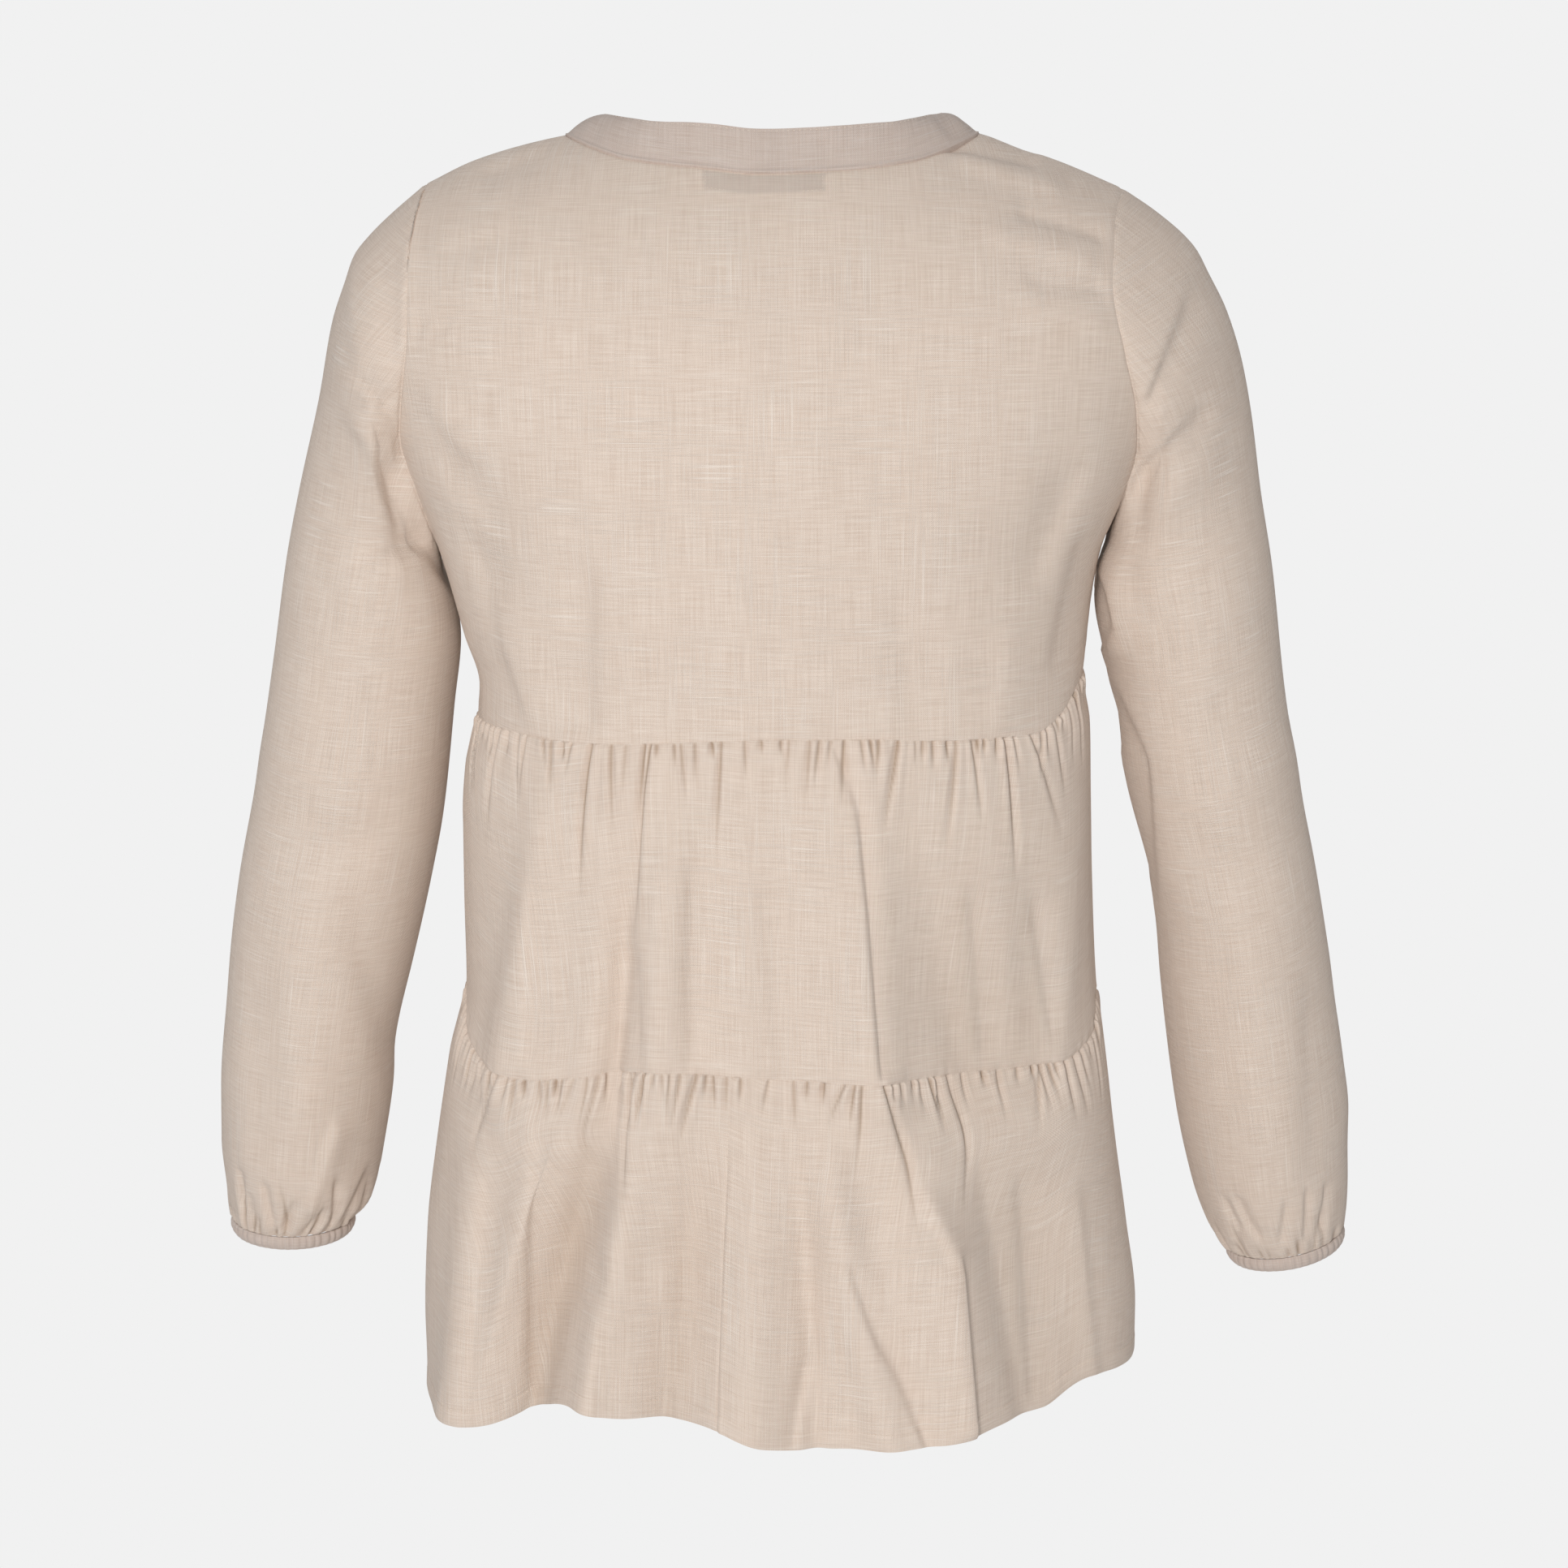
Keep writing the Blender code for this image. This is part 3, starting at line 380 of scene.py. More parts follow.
def randomGathers(seed, first, last, spacing, lengths, widths, lifts, keepClear=()):
    # uneven small gathers along a seam, clear of those that are listed
    draw = np.random.default_rng(seed)
    place, made = first + spacing * draw.random(), []
    while place < last:
        length = between(lengths, draw.random() ** gather["fewLong"])
        width = between(widths, draw.random())
        lift = -between(lifts, draw.random())
        drift = (draw.random() - 0.5) * gather["drift"] * length
        skew = draw.choice([-1, -0.5, 0, 0.5, 1])
        if all(abs(place - other) > gather["clearance"] for other in keepClear):
            made.append((place, drift, length, width, lift, skew))
        place += spacing * (gather["closest"] + gather["spacingRange"] * draw.random())
    return made


def puckers(near, run, seed, kind):
    # fine puckers that a seam draws into the flat cloth beside it
    return hangingGathers(randomGathers(seed, run.min(), run.max(), *kind), run, near)[0]


def addObject(name, data):
    made = bpy.data.objects.new(name, data)
    bpy.context.scene.collection.objects.link(made)
    return made


def shellFaces(rows, across, closed, width, back):
    # the four corners of every face, as places in a list whose rows hold `width` points and
    # whose inner side comes `back` places after the outer one
    count = across if closed else across - 1
    grid = np.meshgrid(np.arange(rows - 1), np.arange(count), indexing="ij")
    upper, column = grid[0].ravel() * width, grid[1].ravel()
    beside = (column + 1) % width
    outer = np.stack([upper + column, upper + width + column, upper + width + beside, upper + beside], axis=-1)
    line, low = np.arange(count), (rows - 1) * width
    following = (line + 1) % width
    rims = [(line, following), (low + following, low + line)]
    if not closed:
        drop = np.arange(rows - 1) * width
        rims += [(drop + width, drop), (drop + across - 1, drop + width + across - 1)]
    edges = [np.stack([a, b, b + back, a + back], axis=-1) for a, b in rims]
    return np.concatenate([outer, outer[:, ::-1] + back, *edges])


def keepRimsSharp(mesh, rows, across, closed):
    # the cut edges stay crisp, so that no dark band runs beside a seam
    onRim = np.zeros((2, rows, across), dtype=bool)
    onRim[:, [0, -1]] = True
    if not closed:
        onRim[:, :, [0, -1]] = True
    ends = np.empty(len(mesh.edges) * 2, dtype=np.int32)
    mesh.edges.foreach_get("vertices", ends)
    ends = ends.reshape(-1, 2)
    sameSide = (ends[:, 0] < rows * across) == (ends[:, 1] < rows * across)
    sharp = mesh.attributes.new("sharp_edge", "BOOLEAN", "EDGE")
    sharp.data.foreach_set("value", sameSide & onRim.ravel()[ends].all(axis=1))


def setMark(mesh, name, values, kind="FLOAT", field="value"):
    mesh.attributes.new(name, kind, "POINT").data.foreach_set(field, values.astype(np.float32).ravel())


def makeShell(name, outer, grain, material, closed=False, thickness=cloth["thickness"], marks=None):
    # one closed shell between the outer points and the same points moved inwards
    inner = outer - gridNormals(outer, closed) * thickness
    rows, across = outer.shape[:2]
    faces = shellFaces(rows, across, closed, across, rows * across)
    uvPlaces = shellFaces(rows, across, closed, across + 1, 0)
    if grain.shape[1] == across:  # an open piece has one unused column of grain places
        grain = np.concatenate([grain, grain[:, -1:]], axis=1)
    points = np.concatenate([outer.reshape(-1, 3), inner.reshape(-1, 3)])
    mesh = bpy.data.meshes.new(name)
    mesh.vertices.add(len(points))
    mesh.vertices.foreach_set("co", points.astype(np.float32).ravel())
    mesh.loops.add(faces.size)
    mesh.loops.foreach_set("vertex_index", faces.astype(np.int32).ravel())
    mesh.polygons.add(len(faces))
    mesh.polygons.foreach_set("loop_start", np.arange(0, faces.size, 4, dtype=np.int32))
    mesh.update(calc_edges=True)
    layer = mesh.uv_layers.new(name="grain")
    layer.data.foreach_set("uv", grain.reshape(-1, 2)[uvPlaces.ravel()].astype(np.float32).ravel())
    for mark, values in (marks or {}).items():
        setMark(mesh, mark, np.concatenate([values.ravel(), values.ravel()]))
    mesh.shade_smooth()
    keepRimsSharp(mesh, rows, across, closed)
    mesh.materials.append(material)
    return addObject(name, mesh)


def clothGrain(grid, closed=False):
    # places in metres along the threads: across from the middle column, and up from the lowest row
    up = runLengths(grid, 0)
    up = up[-1:] - up
    ring = np.concatenate([grid, grid[:, :1]], axis=1) if closed else grid
    along = runLengths(ring, 1)
    if closed:
        widest = along[len(along) // 3, -1]
        along = np.broadcast_to(np.linspace(0, 1, ring.shape[1]) * widest, along.shape)
        up = np.concatenate([up, up[:, :1]], axis=1)
    else:
        along = along - along[:, [grid.shape[1] // 2]]
    return np.stack([along, up], axis=-1)


grainField = {
    "across": (-0.24, 0.24, 193),
    "up": (-0.34, 0.03, 149),
    "steepest": 0.004,
    "measuredFrom": -0.13,  # chest height, where the form is widest
}


def levelGrain(grid, face):
    # the bodice's threads run level and upright: cloth lengths along plain sections of its form
    x, z = np.linspace(*grainField["across"]), np.linspace(*grainField["up"])
    form = bodyDepth(*np.meshgrid(x, z), face)
    steepest = grainField["steepest"]
    acrossSteps = np.hypot(np.diff(form, axis=1), x[1] - x[0])
    upSteps = np.hypot(np.clip(np.diff(form, axis=0), -steepest, steepest), z[1] - z[0])
    across = np.concatenate([np.zeros((len(z), 1)), np.cumsum(acrossSteps, axis=1)], axis=1)
    across = across - across[:, [len(x) // 2]]
    up = np.concatenate([np.zeros((1, len(x))), np.cumsum(upSteps, axis=0)])
    up = up - up[np.argmin(abs(z - grainField["measuredFrom"]))]
    column = np.clip((grid[..., 0] - x[0]) / (x[1] - x[0]), 0, len(x) - 1.001)
    row = np.clip((grid[..., 2] - z[0]) / (z[1] - z[0]), 0, len(z) - 1.001)
    c, r = column.astype(int), row.astype(int)
    partC, partR = column - c, row - r

    def read(field):
        upper = field[r + 1, c] * (1 - partC) + field[r + 1, c + 1] * partC
        lower = field[r, c] * (1 - partC) + field[r, c + 1] * partC
        return lower * (1 - partR) + upper * partR

    return np.stack([read(across), read(up)], axis=-1)


def claim(piece, stands=True):
    # bodiceBack stands for the CAD node bodice_back, and so on; stitches stand for none
    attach(piece, "root")
    if stands:
        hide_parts("".join("_" + c.lower() if c.isupper() else c for c in piece.name))
    return piece


def linear(hexColour):
    values = [int(hexColour[place : place + 2], 16) / 255 for place in (1, 3, 5)]
    return (*[v / 12.92 if v <= 0.04045 else ((v + 0.055) / 1.055) ** 2.4 for v in values], 1.0)


def node(tree, kind, given=None, **properties):
    # adds a node, sets its properties, then fills its inputs with values or links
    made = tree.nodes.new(kind)
    for key, value in properties.items():
        setattr(made, key, value)
    for place, value in (given or {}).items():
        if isinstance(value, bpy.types.NodeSocket):
            tree.links.new(value, made.inputs[place])
        else:
            made.inputs[place].default_value = value
    return made


def maths(tree, operation, *values):
    return node(tree, "ShaderNodeMath", dict(enumerate(values)), operation=operation).outputs[0]


def overlay(tree, factor, under, over, blend="MIX"):
    # one colour over another, by a factor
    given = {0: factor, 6: under, 7: over}
    return node(tree, "ShaderNodeMix", given, data_type="RGBA", blend_type=blend).outputs[2]


def emptyMaterial(name, looks):
    material = bpy.data.materials.new(name)
    material.use_nodes = True
    tree = material.node_tree
    tree.nodes.clear()
    shader = node(tree, "ShaderNodeBsdfPrincipled", looks)
    node(tree, "ShaderNodeOutputMaterial", {0: shader.outputs[0]})
    return material, tree, shader


weave = {
    "cloth": "#E6D6C8",  # undyed pinkish beige
    "shade": "#D2BEAE",  # thinner, darker threads between
    "slub": "#F7EFE6",  # thick pale places in the yarn
    "overLabel": "#B5A89F",
    "hollow": "#C6BBAE",  # painted shade for deep folds: what a deep fold leaves of the light, a little warmer than the open cloth
    "threadPitch": 0.0011,  # real threads lie 0.5 mm apart; drawn coarser, so that they show
    "threadRelief": 0.00010,
    "toneWidth": 0.00065,
    "toneLengths": (0.022, 0.034),  # along the weft and the warp
    "toneRange": (0.62, 1.38),
    "slubLength": 0.042,
    "warpLonger": 1.9,
    "slubWidth": 0.00048,
    "slubRelief": 0.00012,
    "weftSlubs": (0.64, 0.73),  # the higher, the fewer slubs
    "warpSlubs": (0.66, 0.75),
    "weftClusters": ((0.05, 0.05), (0.35, 1.0), (0.34, 0.66)),  # size, least and most strength, softness
    "warpClusters": ((0.045, 0.07), (0.30, 1.0), (0.38, 0.66)),
    "slubStrength": 0.34,
    "labelStrength": 0.42,
    "bump": 0.9,
}
weaveLooks = {"Roughness": 0.88, "Sheen Weight": 0.12, "Sheen Roughness": 0.6, "Specular IOR Level": 0.25}


def clothMaterial(name, tint):
    # plain weave of uneven slub yarn, unfinished: matt, with pale streaks along both threads
    material, tree, shader = emptyMaterial(name, weaveLooks)
    place = node(tree, "ShaderNodeUVMap", uv_map="grain").outputs[0]

    def streaks(across, along, detail, shift):
        # noise drawn out along one thread direction, moved so that no two are alike
        scaled = node(tree, "ShaderNodeMapping", {0: place, 1: (shift, shift * 0.7, 0), 3: (1 / across, 1 / along, 1)})
        given = {"Vector": scaled.outputs[0], "Scale": 1.0, "Detail": detail, "Roughness": 0.6}
        return node(tree, "ShaderNodeTexNoise", given, noise_dimensions="2D").outputs[0]

    def mapped(value, to, source=(0.0, 1.0)):
        return node(tree, "ShaderNodeMapRange", dict(enumerate((value, *source, *to)))).outputs[0]

    def product(*values):
        return maths(tree, "MULTIPLY", *values)

    def clusters(kind, shift):
        size, strength, softness = weave[kind]
        return mapped(streaks(*size, 2, shift), strength, softness)

    # slubs: short along the weft, longer along the warp, in loose clusters
    length, width = weave["slubLength"], weave["slubWidth"]
    patches, patchesDown = clusters("weftClusters", 3.1), clusters("warpClusters", 7.7)
    weft = mapped(streaks(length, width, 0, 11.3), (0, 1), weave["weftSlubs"])
    warp = mapped(streaks(width, length * weave["warpLonger"], 0, 23.9), (0, 1), weave["warpSlubs"])
    slubs = maths(tree, "MAXIMUM", product(weft, patches), product(warp, patchesDown))
    # every thread is a little lighter or darker than the next
    weftTone = streaks(weave["toneLengths"][0], weave["toneWidth"], 2, 31.7)
    warpTone = streaks(weave["toneWidth"], weave["toneLengths"][1], 2, 41.3)
    tone = mapped(maths(tree, "ADD", weftTone, warpTone), (0.0, 1.0), weave["toneRange"])
    # the threads themselves
    parts = node(tree, "ShaderNodeSeparateXYZ", {0: place}).outputs
    turns = 2 * math.pi / weave["threadPitch"]
    overUnder = product(*[maths(tree, "SINE", product(parts[axis], turns)) for axis in (0, 1)])
    # the colour: threads, slubs, what lies behind the cloth, a tint that is partly painted shade, and painted shade in
    # the folds
    label, paintedFoldShade = (
        node(tree, "ShaderNodeAttribute", attribute_name=name).outputs["Fac"] for name in ("overLabel", "hollow"))
    colour = overlay(tree, tone, linear(weave["shade"]), linear(weave["cloth"]))
    colour = overlay(tree, mapped(slubs, (0, weave["slubStrength"])), colour, linear(weave["slub"]))
    colour = overlay(tree, mapped(label, (0, weave["labelStrength"])), colour, linear(weave["overLabel"]))
    # the tint: on the doubled cloth it is partly painted shade
    colour = overlay(tree, 1.0, colour, linear(tint), "MULTIPLY")
    # painted shade in the folds and along the gathers
    colour = overlay(tree, paintedFoldShade, colour, linear(weave["hollow"]), "MULTIPLY")
    tree.links.new(colour, shader.inputs["Base Color"])
    height = maths(tree, "ADD", product(overUnder, weave["threadRelief"]), product(slubs, weave["slubRelief"]))
    height = maths(tree, "ADD", height, product(tone, weave["threadRelief"]))
    bump = node(tree, "ShaderNodeBump", {"Height": height, "Strength": weave["bump"], "Distance": 1.0})
    tree.links.new(bump.outputs[0], shader.inputs["Normal"])
    return material


def bandedMaterial(name, looks, place, bands, colours, relief=0.0, **directions):
    # fine even bands between two colours, raised where there is relief
    material, tree, shader = emptyMaterial(name, looks)
    if place == "grain":
        source = node(tree, "ShaderNodeUVMap", uv_map="grain").outputs[0]
    else:
        source = node(tree, "ShaderNodeTexCoord").outputs[place]
    given = {"Vector": source, "Scale": bands[0], "Distortion": bands[1]}
    wave = node(tree, "ShaderNodeTexWave", given, wave_type="BANDS", **directions).outputs["Fac"]
    tree.links.new(overlay(tree, wave, *map(linear, colours)), shader.inputs["Base Color"])
    if relief:
        bump = node(tree, "ShaderNodeBump", {"Height": wave, "Strength": 0.4, "Distance": relief})
        tree.links.new(bump.outputs[0], shader.inputs["Normal"])
    return material


slubCotton = clothMaterial("slubCottonPlainWeave", "#FFFFFF")
slubCottonDoubled = clothMaterial("slubCottonDoubled", "#EAEAEE")  # two layers; its greyer, darker tint is partly less light coming through and partly painted shade
# two-ply cotton sewing thread, matt, with its twist as fine slanting bands
cottonThread = bandedMaterial(
    "spunCottonThread", {"Roughness": 0.8, "Sheen Weight": 0.2}, "Object", (900.0, 0.4), ("#D3C2B1", "#EFE4D8"),
    bands_direction="DIAGONAL")
# closely woven satin label tape, left blank: smoother and paler than the cloth
labelTape = bandedMaterial(
    "wovenLabelTape", {"Roughness": 0.6, "Sheen Weight": 0.1}, "grain", (260.0, 0.3), ("#D9CDBF", "#E9DFD3"),
    relief=0.0002, bands_direction="Y")
print("materials made")


def clothPiece(name, outer, grain, material=slubCotton, **how):
    return claim(makeShell(name, outer, grain, material, **how))


# stitches along any path, by Geometry Nodes

thread = {"stitchLength": 0.0021, "pitch": 0.0030, "thickness": 0.00030, "unevenness": 0.18}


def startTree(name, shape, numbers):
    # a tree with named inputs: a shape, some numbers and a seed
    tree = bpy.data.node_groups.new(name, "GeometryNodeTree")
    sockets = [(shape, "Geometry"), *((number, "Float") for number in numbers), ("seed", "Int")]
    for title, kind in sockets:
        tree.interface.new_socket(title, in_out="INPUT", socket_type="NodeSocket" + kind)
    tree.interface.new_socket("result", in_out="OUTPUT", socket_type="NodeSocketGeometry")
    return tree, node(tree, "NodeGroupInput").outputs


def endTree(tree, shape, material):
    real = node(tree, "GeometryNodeRealizeInstances", {0: shape})
    coloured = node(tree, "GeometryNodeSetMaterial", {0: real.outputs[0], "Material": material})
    node(tree, "NodeGroupOutput", {0: coloured.outputs[0]})
    return tree


def stitchTree():
    tree, given = startTree("stitchesAlongPath", "path", thread)
    curve = node(tree, "GeometryNodeMeshToCurve", {0: given["path"]}).outputs[0]
    spaced = node(tree, "GeometryNodeResampleCurve", {"Curve": curve, "Length": given["pitch"]}, mode="LENGTH")
    size = node(tree, "ShaderNodeCombineXYZ", {0: given["stitchLength"], 1: given["thickness"], 2: given["thickness"]})
    half = node(tree, "ShaderNodeVectorMath", {0: size.outputs[0], "Scale": 0.5}, operation="SCALE")
    low, high = (maths(tree, way, 1.0, given["unevenness"]) for way in ("SUBTRACT", "ADD"))
    vary = node(tree, "FunctionNodeRandomValue", {2: low, 3: high, "Seed": given["seed"]}, data_type="FLOAT")
    scale = node(tree, "ShaderNodeVectorMath", {0: half.outputs[0], "Scale": vary.outputs[1]}, operation="SCALE")
    ball = node(tree, "GeometryNodeMeshIcoSphere", {"Radius": 1.0, "Subdivisions": 1})
    smooth = node(tree, "GeometryNodeSetShadeSmooth", {0: ball.outputs[0]})
    tangent = node(tree, "GeometryNodeInputTangent").outputs[0]
    turned = node(tree, "FunctionNodeAlignRotationToVector", {"Vector": tangent}, axis="X")
    placed = node(tree, "GeometryNodeInstanceOnPoints", {
        "Points": spaced.outputs[0], "Instance": smooth.outputs[0], "Rotation": turned.outputs[0],
        "Scale": scale.outputs[0]})
    return endTree(tree, placed.outputs[0], cottonThread)


stitchesAlongPath = stitchTree()


def appliedNodes(name, source, tree, values):
    # runs a tree on an object, keeps the result as a plain mesh and removes the source
    modifier = source.modifiers.new("nodes", "NODES")
    modifier.node_group = tree
    for item in tree.interface.items_tree:
        if item.in_out == "INPUT" and item.name in values:
            modifier[item.identifier] = values[item.name]
    evaluated = source.evaluated_get(bpy.context.evaluated_depsgraph_get())
    mesh = bpy.data.meshes.new_from_object(evaluated)
    mesh.name = name
    source.modifiers.remove(modifier)
    bpy.data.objects.remove(source, do_unlink=True)
    return addObject(name, mesh)


def sew(name, paths, seed, **changes):
    # stitches along each path of points; a closed path repeats its first point
    points = np.concatenate(paths)
    starts = np.cumsum([0] + [len(path) for path in paths])
    edges = [(i, i + 1) for a, b in zip(starts[:-1], starts[1:]) for i in range(a, b - 1)]
    mesh = bpy.data.meshes.new(name + "Path")
    mesh.from_pydata(points.tolist(), edges, [])
    values = {**thread, "seed": seed, **changes}
    return claim(appliedNodes(name, addObject(name + "Path", mesh), stitchesAlongPath, values), stands=False)


def pathOn(grid, rowAt, closed=False, proud=0.00012):
    # points on a shell's outer side, or so far above it, along rows given as fractions of the grid
    raised = grid + gridNormals(grid, closed) * proud
    low, order = np.clip(np.floor(rowAt).astype(int), 0, len(grid) - 2), np.arange(grid.shape[1])
    part = (rowAt - low)[:, None]
    line = raised[low, order] * (1 - part) + raised[low + 1, order] * part
    return np.concatenate([line, line[:1]]) if closed else line


def rowsAtDistance(grid, distance, fromBottom=False):
    # for each column, the fractional row that lies so far from the top or bottom edge
    down = runLengths(grid, 0)
    if fromBottom:
        down = (down[-1:] - down)[::-1]
    rows = np.array([np.interp(distance, down[:, c], np.arange(len(down))) for c in range(down.shape[1])])
    return len(grid) - 1 - rows if fromBottom else rows


bodice = {
    "columns": 216,
    "armholeShare": 0.684,  # how far down its length the armhole ends
    "armholeRows": 72,
    "sideSeamRows": 26,
    "lastRow": 0.0016,
    "creaseDepth": 1.3,
    "sideCalm": 0.012,  # creases die away beside the seams
    "waistCalm": 0.006,
    "waistPuckers": (0.007, (0.004, 0.010), (0.0011, 0.0019), (0.0002, 0.0005)),  # spacing, lengths, widths, depths
    "sidePuckers": (0.009, (0.003, 0.008), (0.0011, 0.0019), (0.0001, 0.0003)),
}
quarter = bodice["columns"] // 4  # columns on each shoulder, and on each half of the neck
bodiceCreases = {
    "back": columns(
        creaseColumns,
        (-103, -225, -104, -322, 9.0, -1.6, -0.8),  # soft upright edge above the waist
        (-152, -244, -131, -312, 7.0, 1.8, 0.6),  # slanting folds from the left underarm
        (-168, -212, -146, -262, 9.0, -2.0, 0.5),
        (-182, -168, -150, -206, 10.0, -1.8, 0.4),
        (-186, -140, -160, -172, 7.0, 1.3, 0.3),
        (158, -176, 136, -236, 9.0, -1.8, -0.5),  # from the right underarm
        (166, -216, 150, -286, 8.0, -1.5, 0.5),
        (88, -6, 138, -16, 3.2, -1.3, 0.6),  # drag folds off the right shoulder
        (96, -14, 150, -30, 4.5, 1.1, 0.5),
        (128, -42, 175, -55, 3.0, -1.2, 0.6),
        (110, -52, 168, -68, 5.0, 0.9, 0.4),
        (131, -76, 176, -83, 3.0, -1.1, 0.6),
        (128, -92, 172, -98, 5.0, 0.8, 0.3),
        (-197, -101, -172, -99, 1.6, -0.7, 0.6),  # short creases at the left armhole
        (-196, -106, -176, -104, 1.8, -0.5, 0.4),
        (-128, -10, -160, -22, 5.0, -0.9, 0.5),  # off the left shoulder
        (-140, -52, -178, -62, 6.0, -0.7, 0.4),
        (-40, -70, -52, -205, 16.0, -0.5, 0.3),  # slack cloth between the shoulder blades
        (46, -60, 58, -215, 17.0, -0.5, -0.3),
        (4, -120, 8, -300, 20.0, 0.6, 0.2),
        (62, -238, 74, -322, 10.0, -1.0, 0.5),
        (-34, -260, -30, -322, 9.0, -0.7, -0.4),
        (122, -262, 118, -322, 8.0, 0.9, 0.4),
    ),
    "front": columns(
        creaseColumns,
        (-150, -238, -128, -308, 8.0, 1.5, 0.5),
        (-172, -196, -138, -246, 10.0, -2.0, 0.4),
        (166, -198, 138, -250, 10.0, -1.9, -0.5),
        (152, -246, 128, -310, 8.0, 1.4, 0.4),
        (-124, -12, -162, -30, 5.0, -1.1, 0.5),
        (-126, -36, -170, -58, 5.0, 0.9, 0.4),
        (118, -12, 160, -34, 5.0, -1.0, 0.6),
        (116, -44, 164, -66, 5.0, 0.8, 0.3),
        (-62, -120, -74, -250, 15.0, -1.4, 0.4),
        (60, -124, 72, -246, 15.0, -1.3, -0.4),
        (-20, -214, -26, -320, 9.0, -1.0, 0.5),
        (24, -212, 32, -318, 10.0, 1.1, 0.4),
        (96, -250, 100, -318, 8.0, -0.9, -0.5),
        (-104, -262, -108, -320, 9.0, 1.0, 0.4),
    ),
}


def neckTop(face):
    # the bodice's top edge, from the left shoulder point to the right one
    left = np.linspace(shoulder["across"][0], neckEnds[0], quarter + 1)
    right = np.linspace(neckEnds[1], shoulder["across"][-1], quarter + 1)
    neck = np.concatenate([np.linspace(neckEnds[0], 0, quarter + 1), np.linspace(0, neckEnds[1], quarter + 1)[1:]])
    if face == "back":
        heights = readSmoothly(backNeck, "across", "height", neck)
    else:
        share = np.where(neck < 0, neck / neckEnds[0], neck / neckEnds[1])
        heights = frontNeck["bottom"] * (1 - share) - frontNeck["bow"] * np.sin(math.pi * share)
    across = np.concatenate([left[:-1], neck, right[1:]])
    line = readSmoothly(shoulder, "across", "height", across)
    heights = np.concatenate([line[:quarter], heights, line[-quarter:]])
    heights[quarter], heights[-quarter - 1] = line[quarter], line[-quarter - 1]
    return across, heights


def bodiceRows():
    # how far down each row lies: close together at both ends of the armhole
    angles = np.linspace(0, math.pi, bodice["armholeRows"] + 1)
    side = np.linspace(bodice["armholeShare"], 1, bodice["sideSeamRows"] + 1)
    side[-2] = 1 - bodice["lastRow"]
    return np.concatenate([bodice["armholeShare"] * (1 - np.cos(angles)) / 2, side[1:]])


def bodiceGrid(face):
    topAcross, topHeights = neckTop(face)
    places = evenPlaces(bodice["columns"], face)
    waist = readSmoothly(waistSeam, "place", face, places)
    lowAcross = places * halfWidth(places, waist)
    topShare = (topAcross - topAcross[0]) / (topAcross[-1] - topAcross[0])
    lowShare = (lowAcross - lowAcross[0]) / (lowAcross[-1] - lowAcross[0])
    side = -1 if face == "back" else 1
    grid = []
    for row, down in enumerate(bodiceRows()):
        heights = topHeights + (waist - topHeights) * down
        ends = []
        for end, height in ((-1, heights[0]), (1, heights[-1])):
            if row <= bodice["armholeRows"]:
                ends.append(end * float(readSmoothly(armhole[end], "height", face, height)))
            else:
                ends.append(end * float(halfWidth(end, height)))
        share = topShare + (lowShare - topShare) * smoothStep(down / bodice["armholeShare"])
        across = between(ends, share)
        depth = bodyDepth(across, heights, face)
        if row == 0:
            depth[: quarter + 1] = 0
            depth[-quarter - 1 :] = 0
        if row >= bodice["armholeRows"]:
            depth[0] = depth[-1] = 0
        grid.append(np.stack([across, side * depth, heights], axis=-1))
    return np.array(grid)


def bodiceShell(face, grid, seed):
    # adds seams, creases and puckers to the plain bodice; columns run round the body
    near = edgeDistances(grid)
    relief = finishEdges(near, ("top", "bottom", "first", "last"))
    calm = smoothStep(np.minimum(near["first"], near["last"]) / bodice["sideCalm"])
    calm = calm * smoothStep(near["bottom"] / bodice["waistCalm"])
    relief = relief + placedCreases(bodiceCreases[face], grid) * calm * bodice["creaseDepth"]
    relief = relief + puckers(near["bottom"], runLengths(grid, 1), seed, bodice["waistPuckers"])
    for edge, step in (("first", 5), ("last", 4)):
        relief = relief + puckers(near[edge], runLengths(grid, 0), seed + step, bodice["sidePuckers"])
    return grid + gridNormals(grid) * relief[..., None]


backPlain, frontPlain = bodiceGrid("back"), bodiceGrid("front")[:, ::-1]
backOuter = bodiceShell("back", backPlain, 11)
frontOuter = bodiceShell("front", frontPlain, 12)
joinSides(backOuter, frontOuter, np.s_[bodice["armholeRows"] :])
join(backOuter, np.s_[0, : quarter + 1], frontOuter, np.s_[0, : -quarter - 2 : -1])
join(backOuter, np.s_[0, -quarter - 1 :], frontOuter, np.s_[0, quarter::-1])

label = {
    "left": -0.0402,
    "right": 0.0244,
    "top": 0.0010,  # below the neck seam, like the bottom
    "bottom": 0.0145,
    "gap": 0.0006,
    "thickness": 0.0006,
    "columns": 60,
    "rows": 14,
    "softEdge": 0.0012,  # how softly the cloth shows it
    "softTop": 0.001,
    "stitchInset": 0.0012,
    "stitchTop": 0.0015,
    "stitchProud": 0.00015,
    "tackFrom": 0.001,  # short rows of stitches at both lower corners
    "tackTo": 0.010,
}


def overLabel(grid):
    # 1 where the cloth lies on the label, with soft edges
    x, down, soft = grid[..., 0], runLengths(grid, 0), label["softEdge"]
    inside = smoothStep((x - label["left"]) / soft + 0.5) * smoothStep((label["right"] - x) / soft + 0.5)
    below = smoothStep((down - label["top"]) / label["softTop"])
    return inside * below * smoothStep((label["bottom"] - down) / soft + 0.5)


bodiceBack = clothPiece(
    "bodiceBack", backOuter, levelGrain(backPlain, "back"), marks={"overLabel": overLabel(backPlain)})
bodiceFront = clothPiece("bodiceFront", frontOuter, levelGrain(frontPlain, "front"))
print("bodice made")


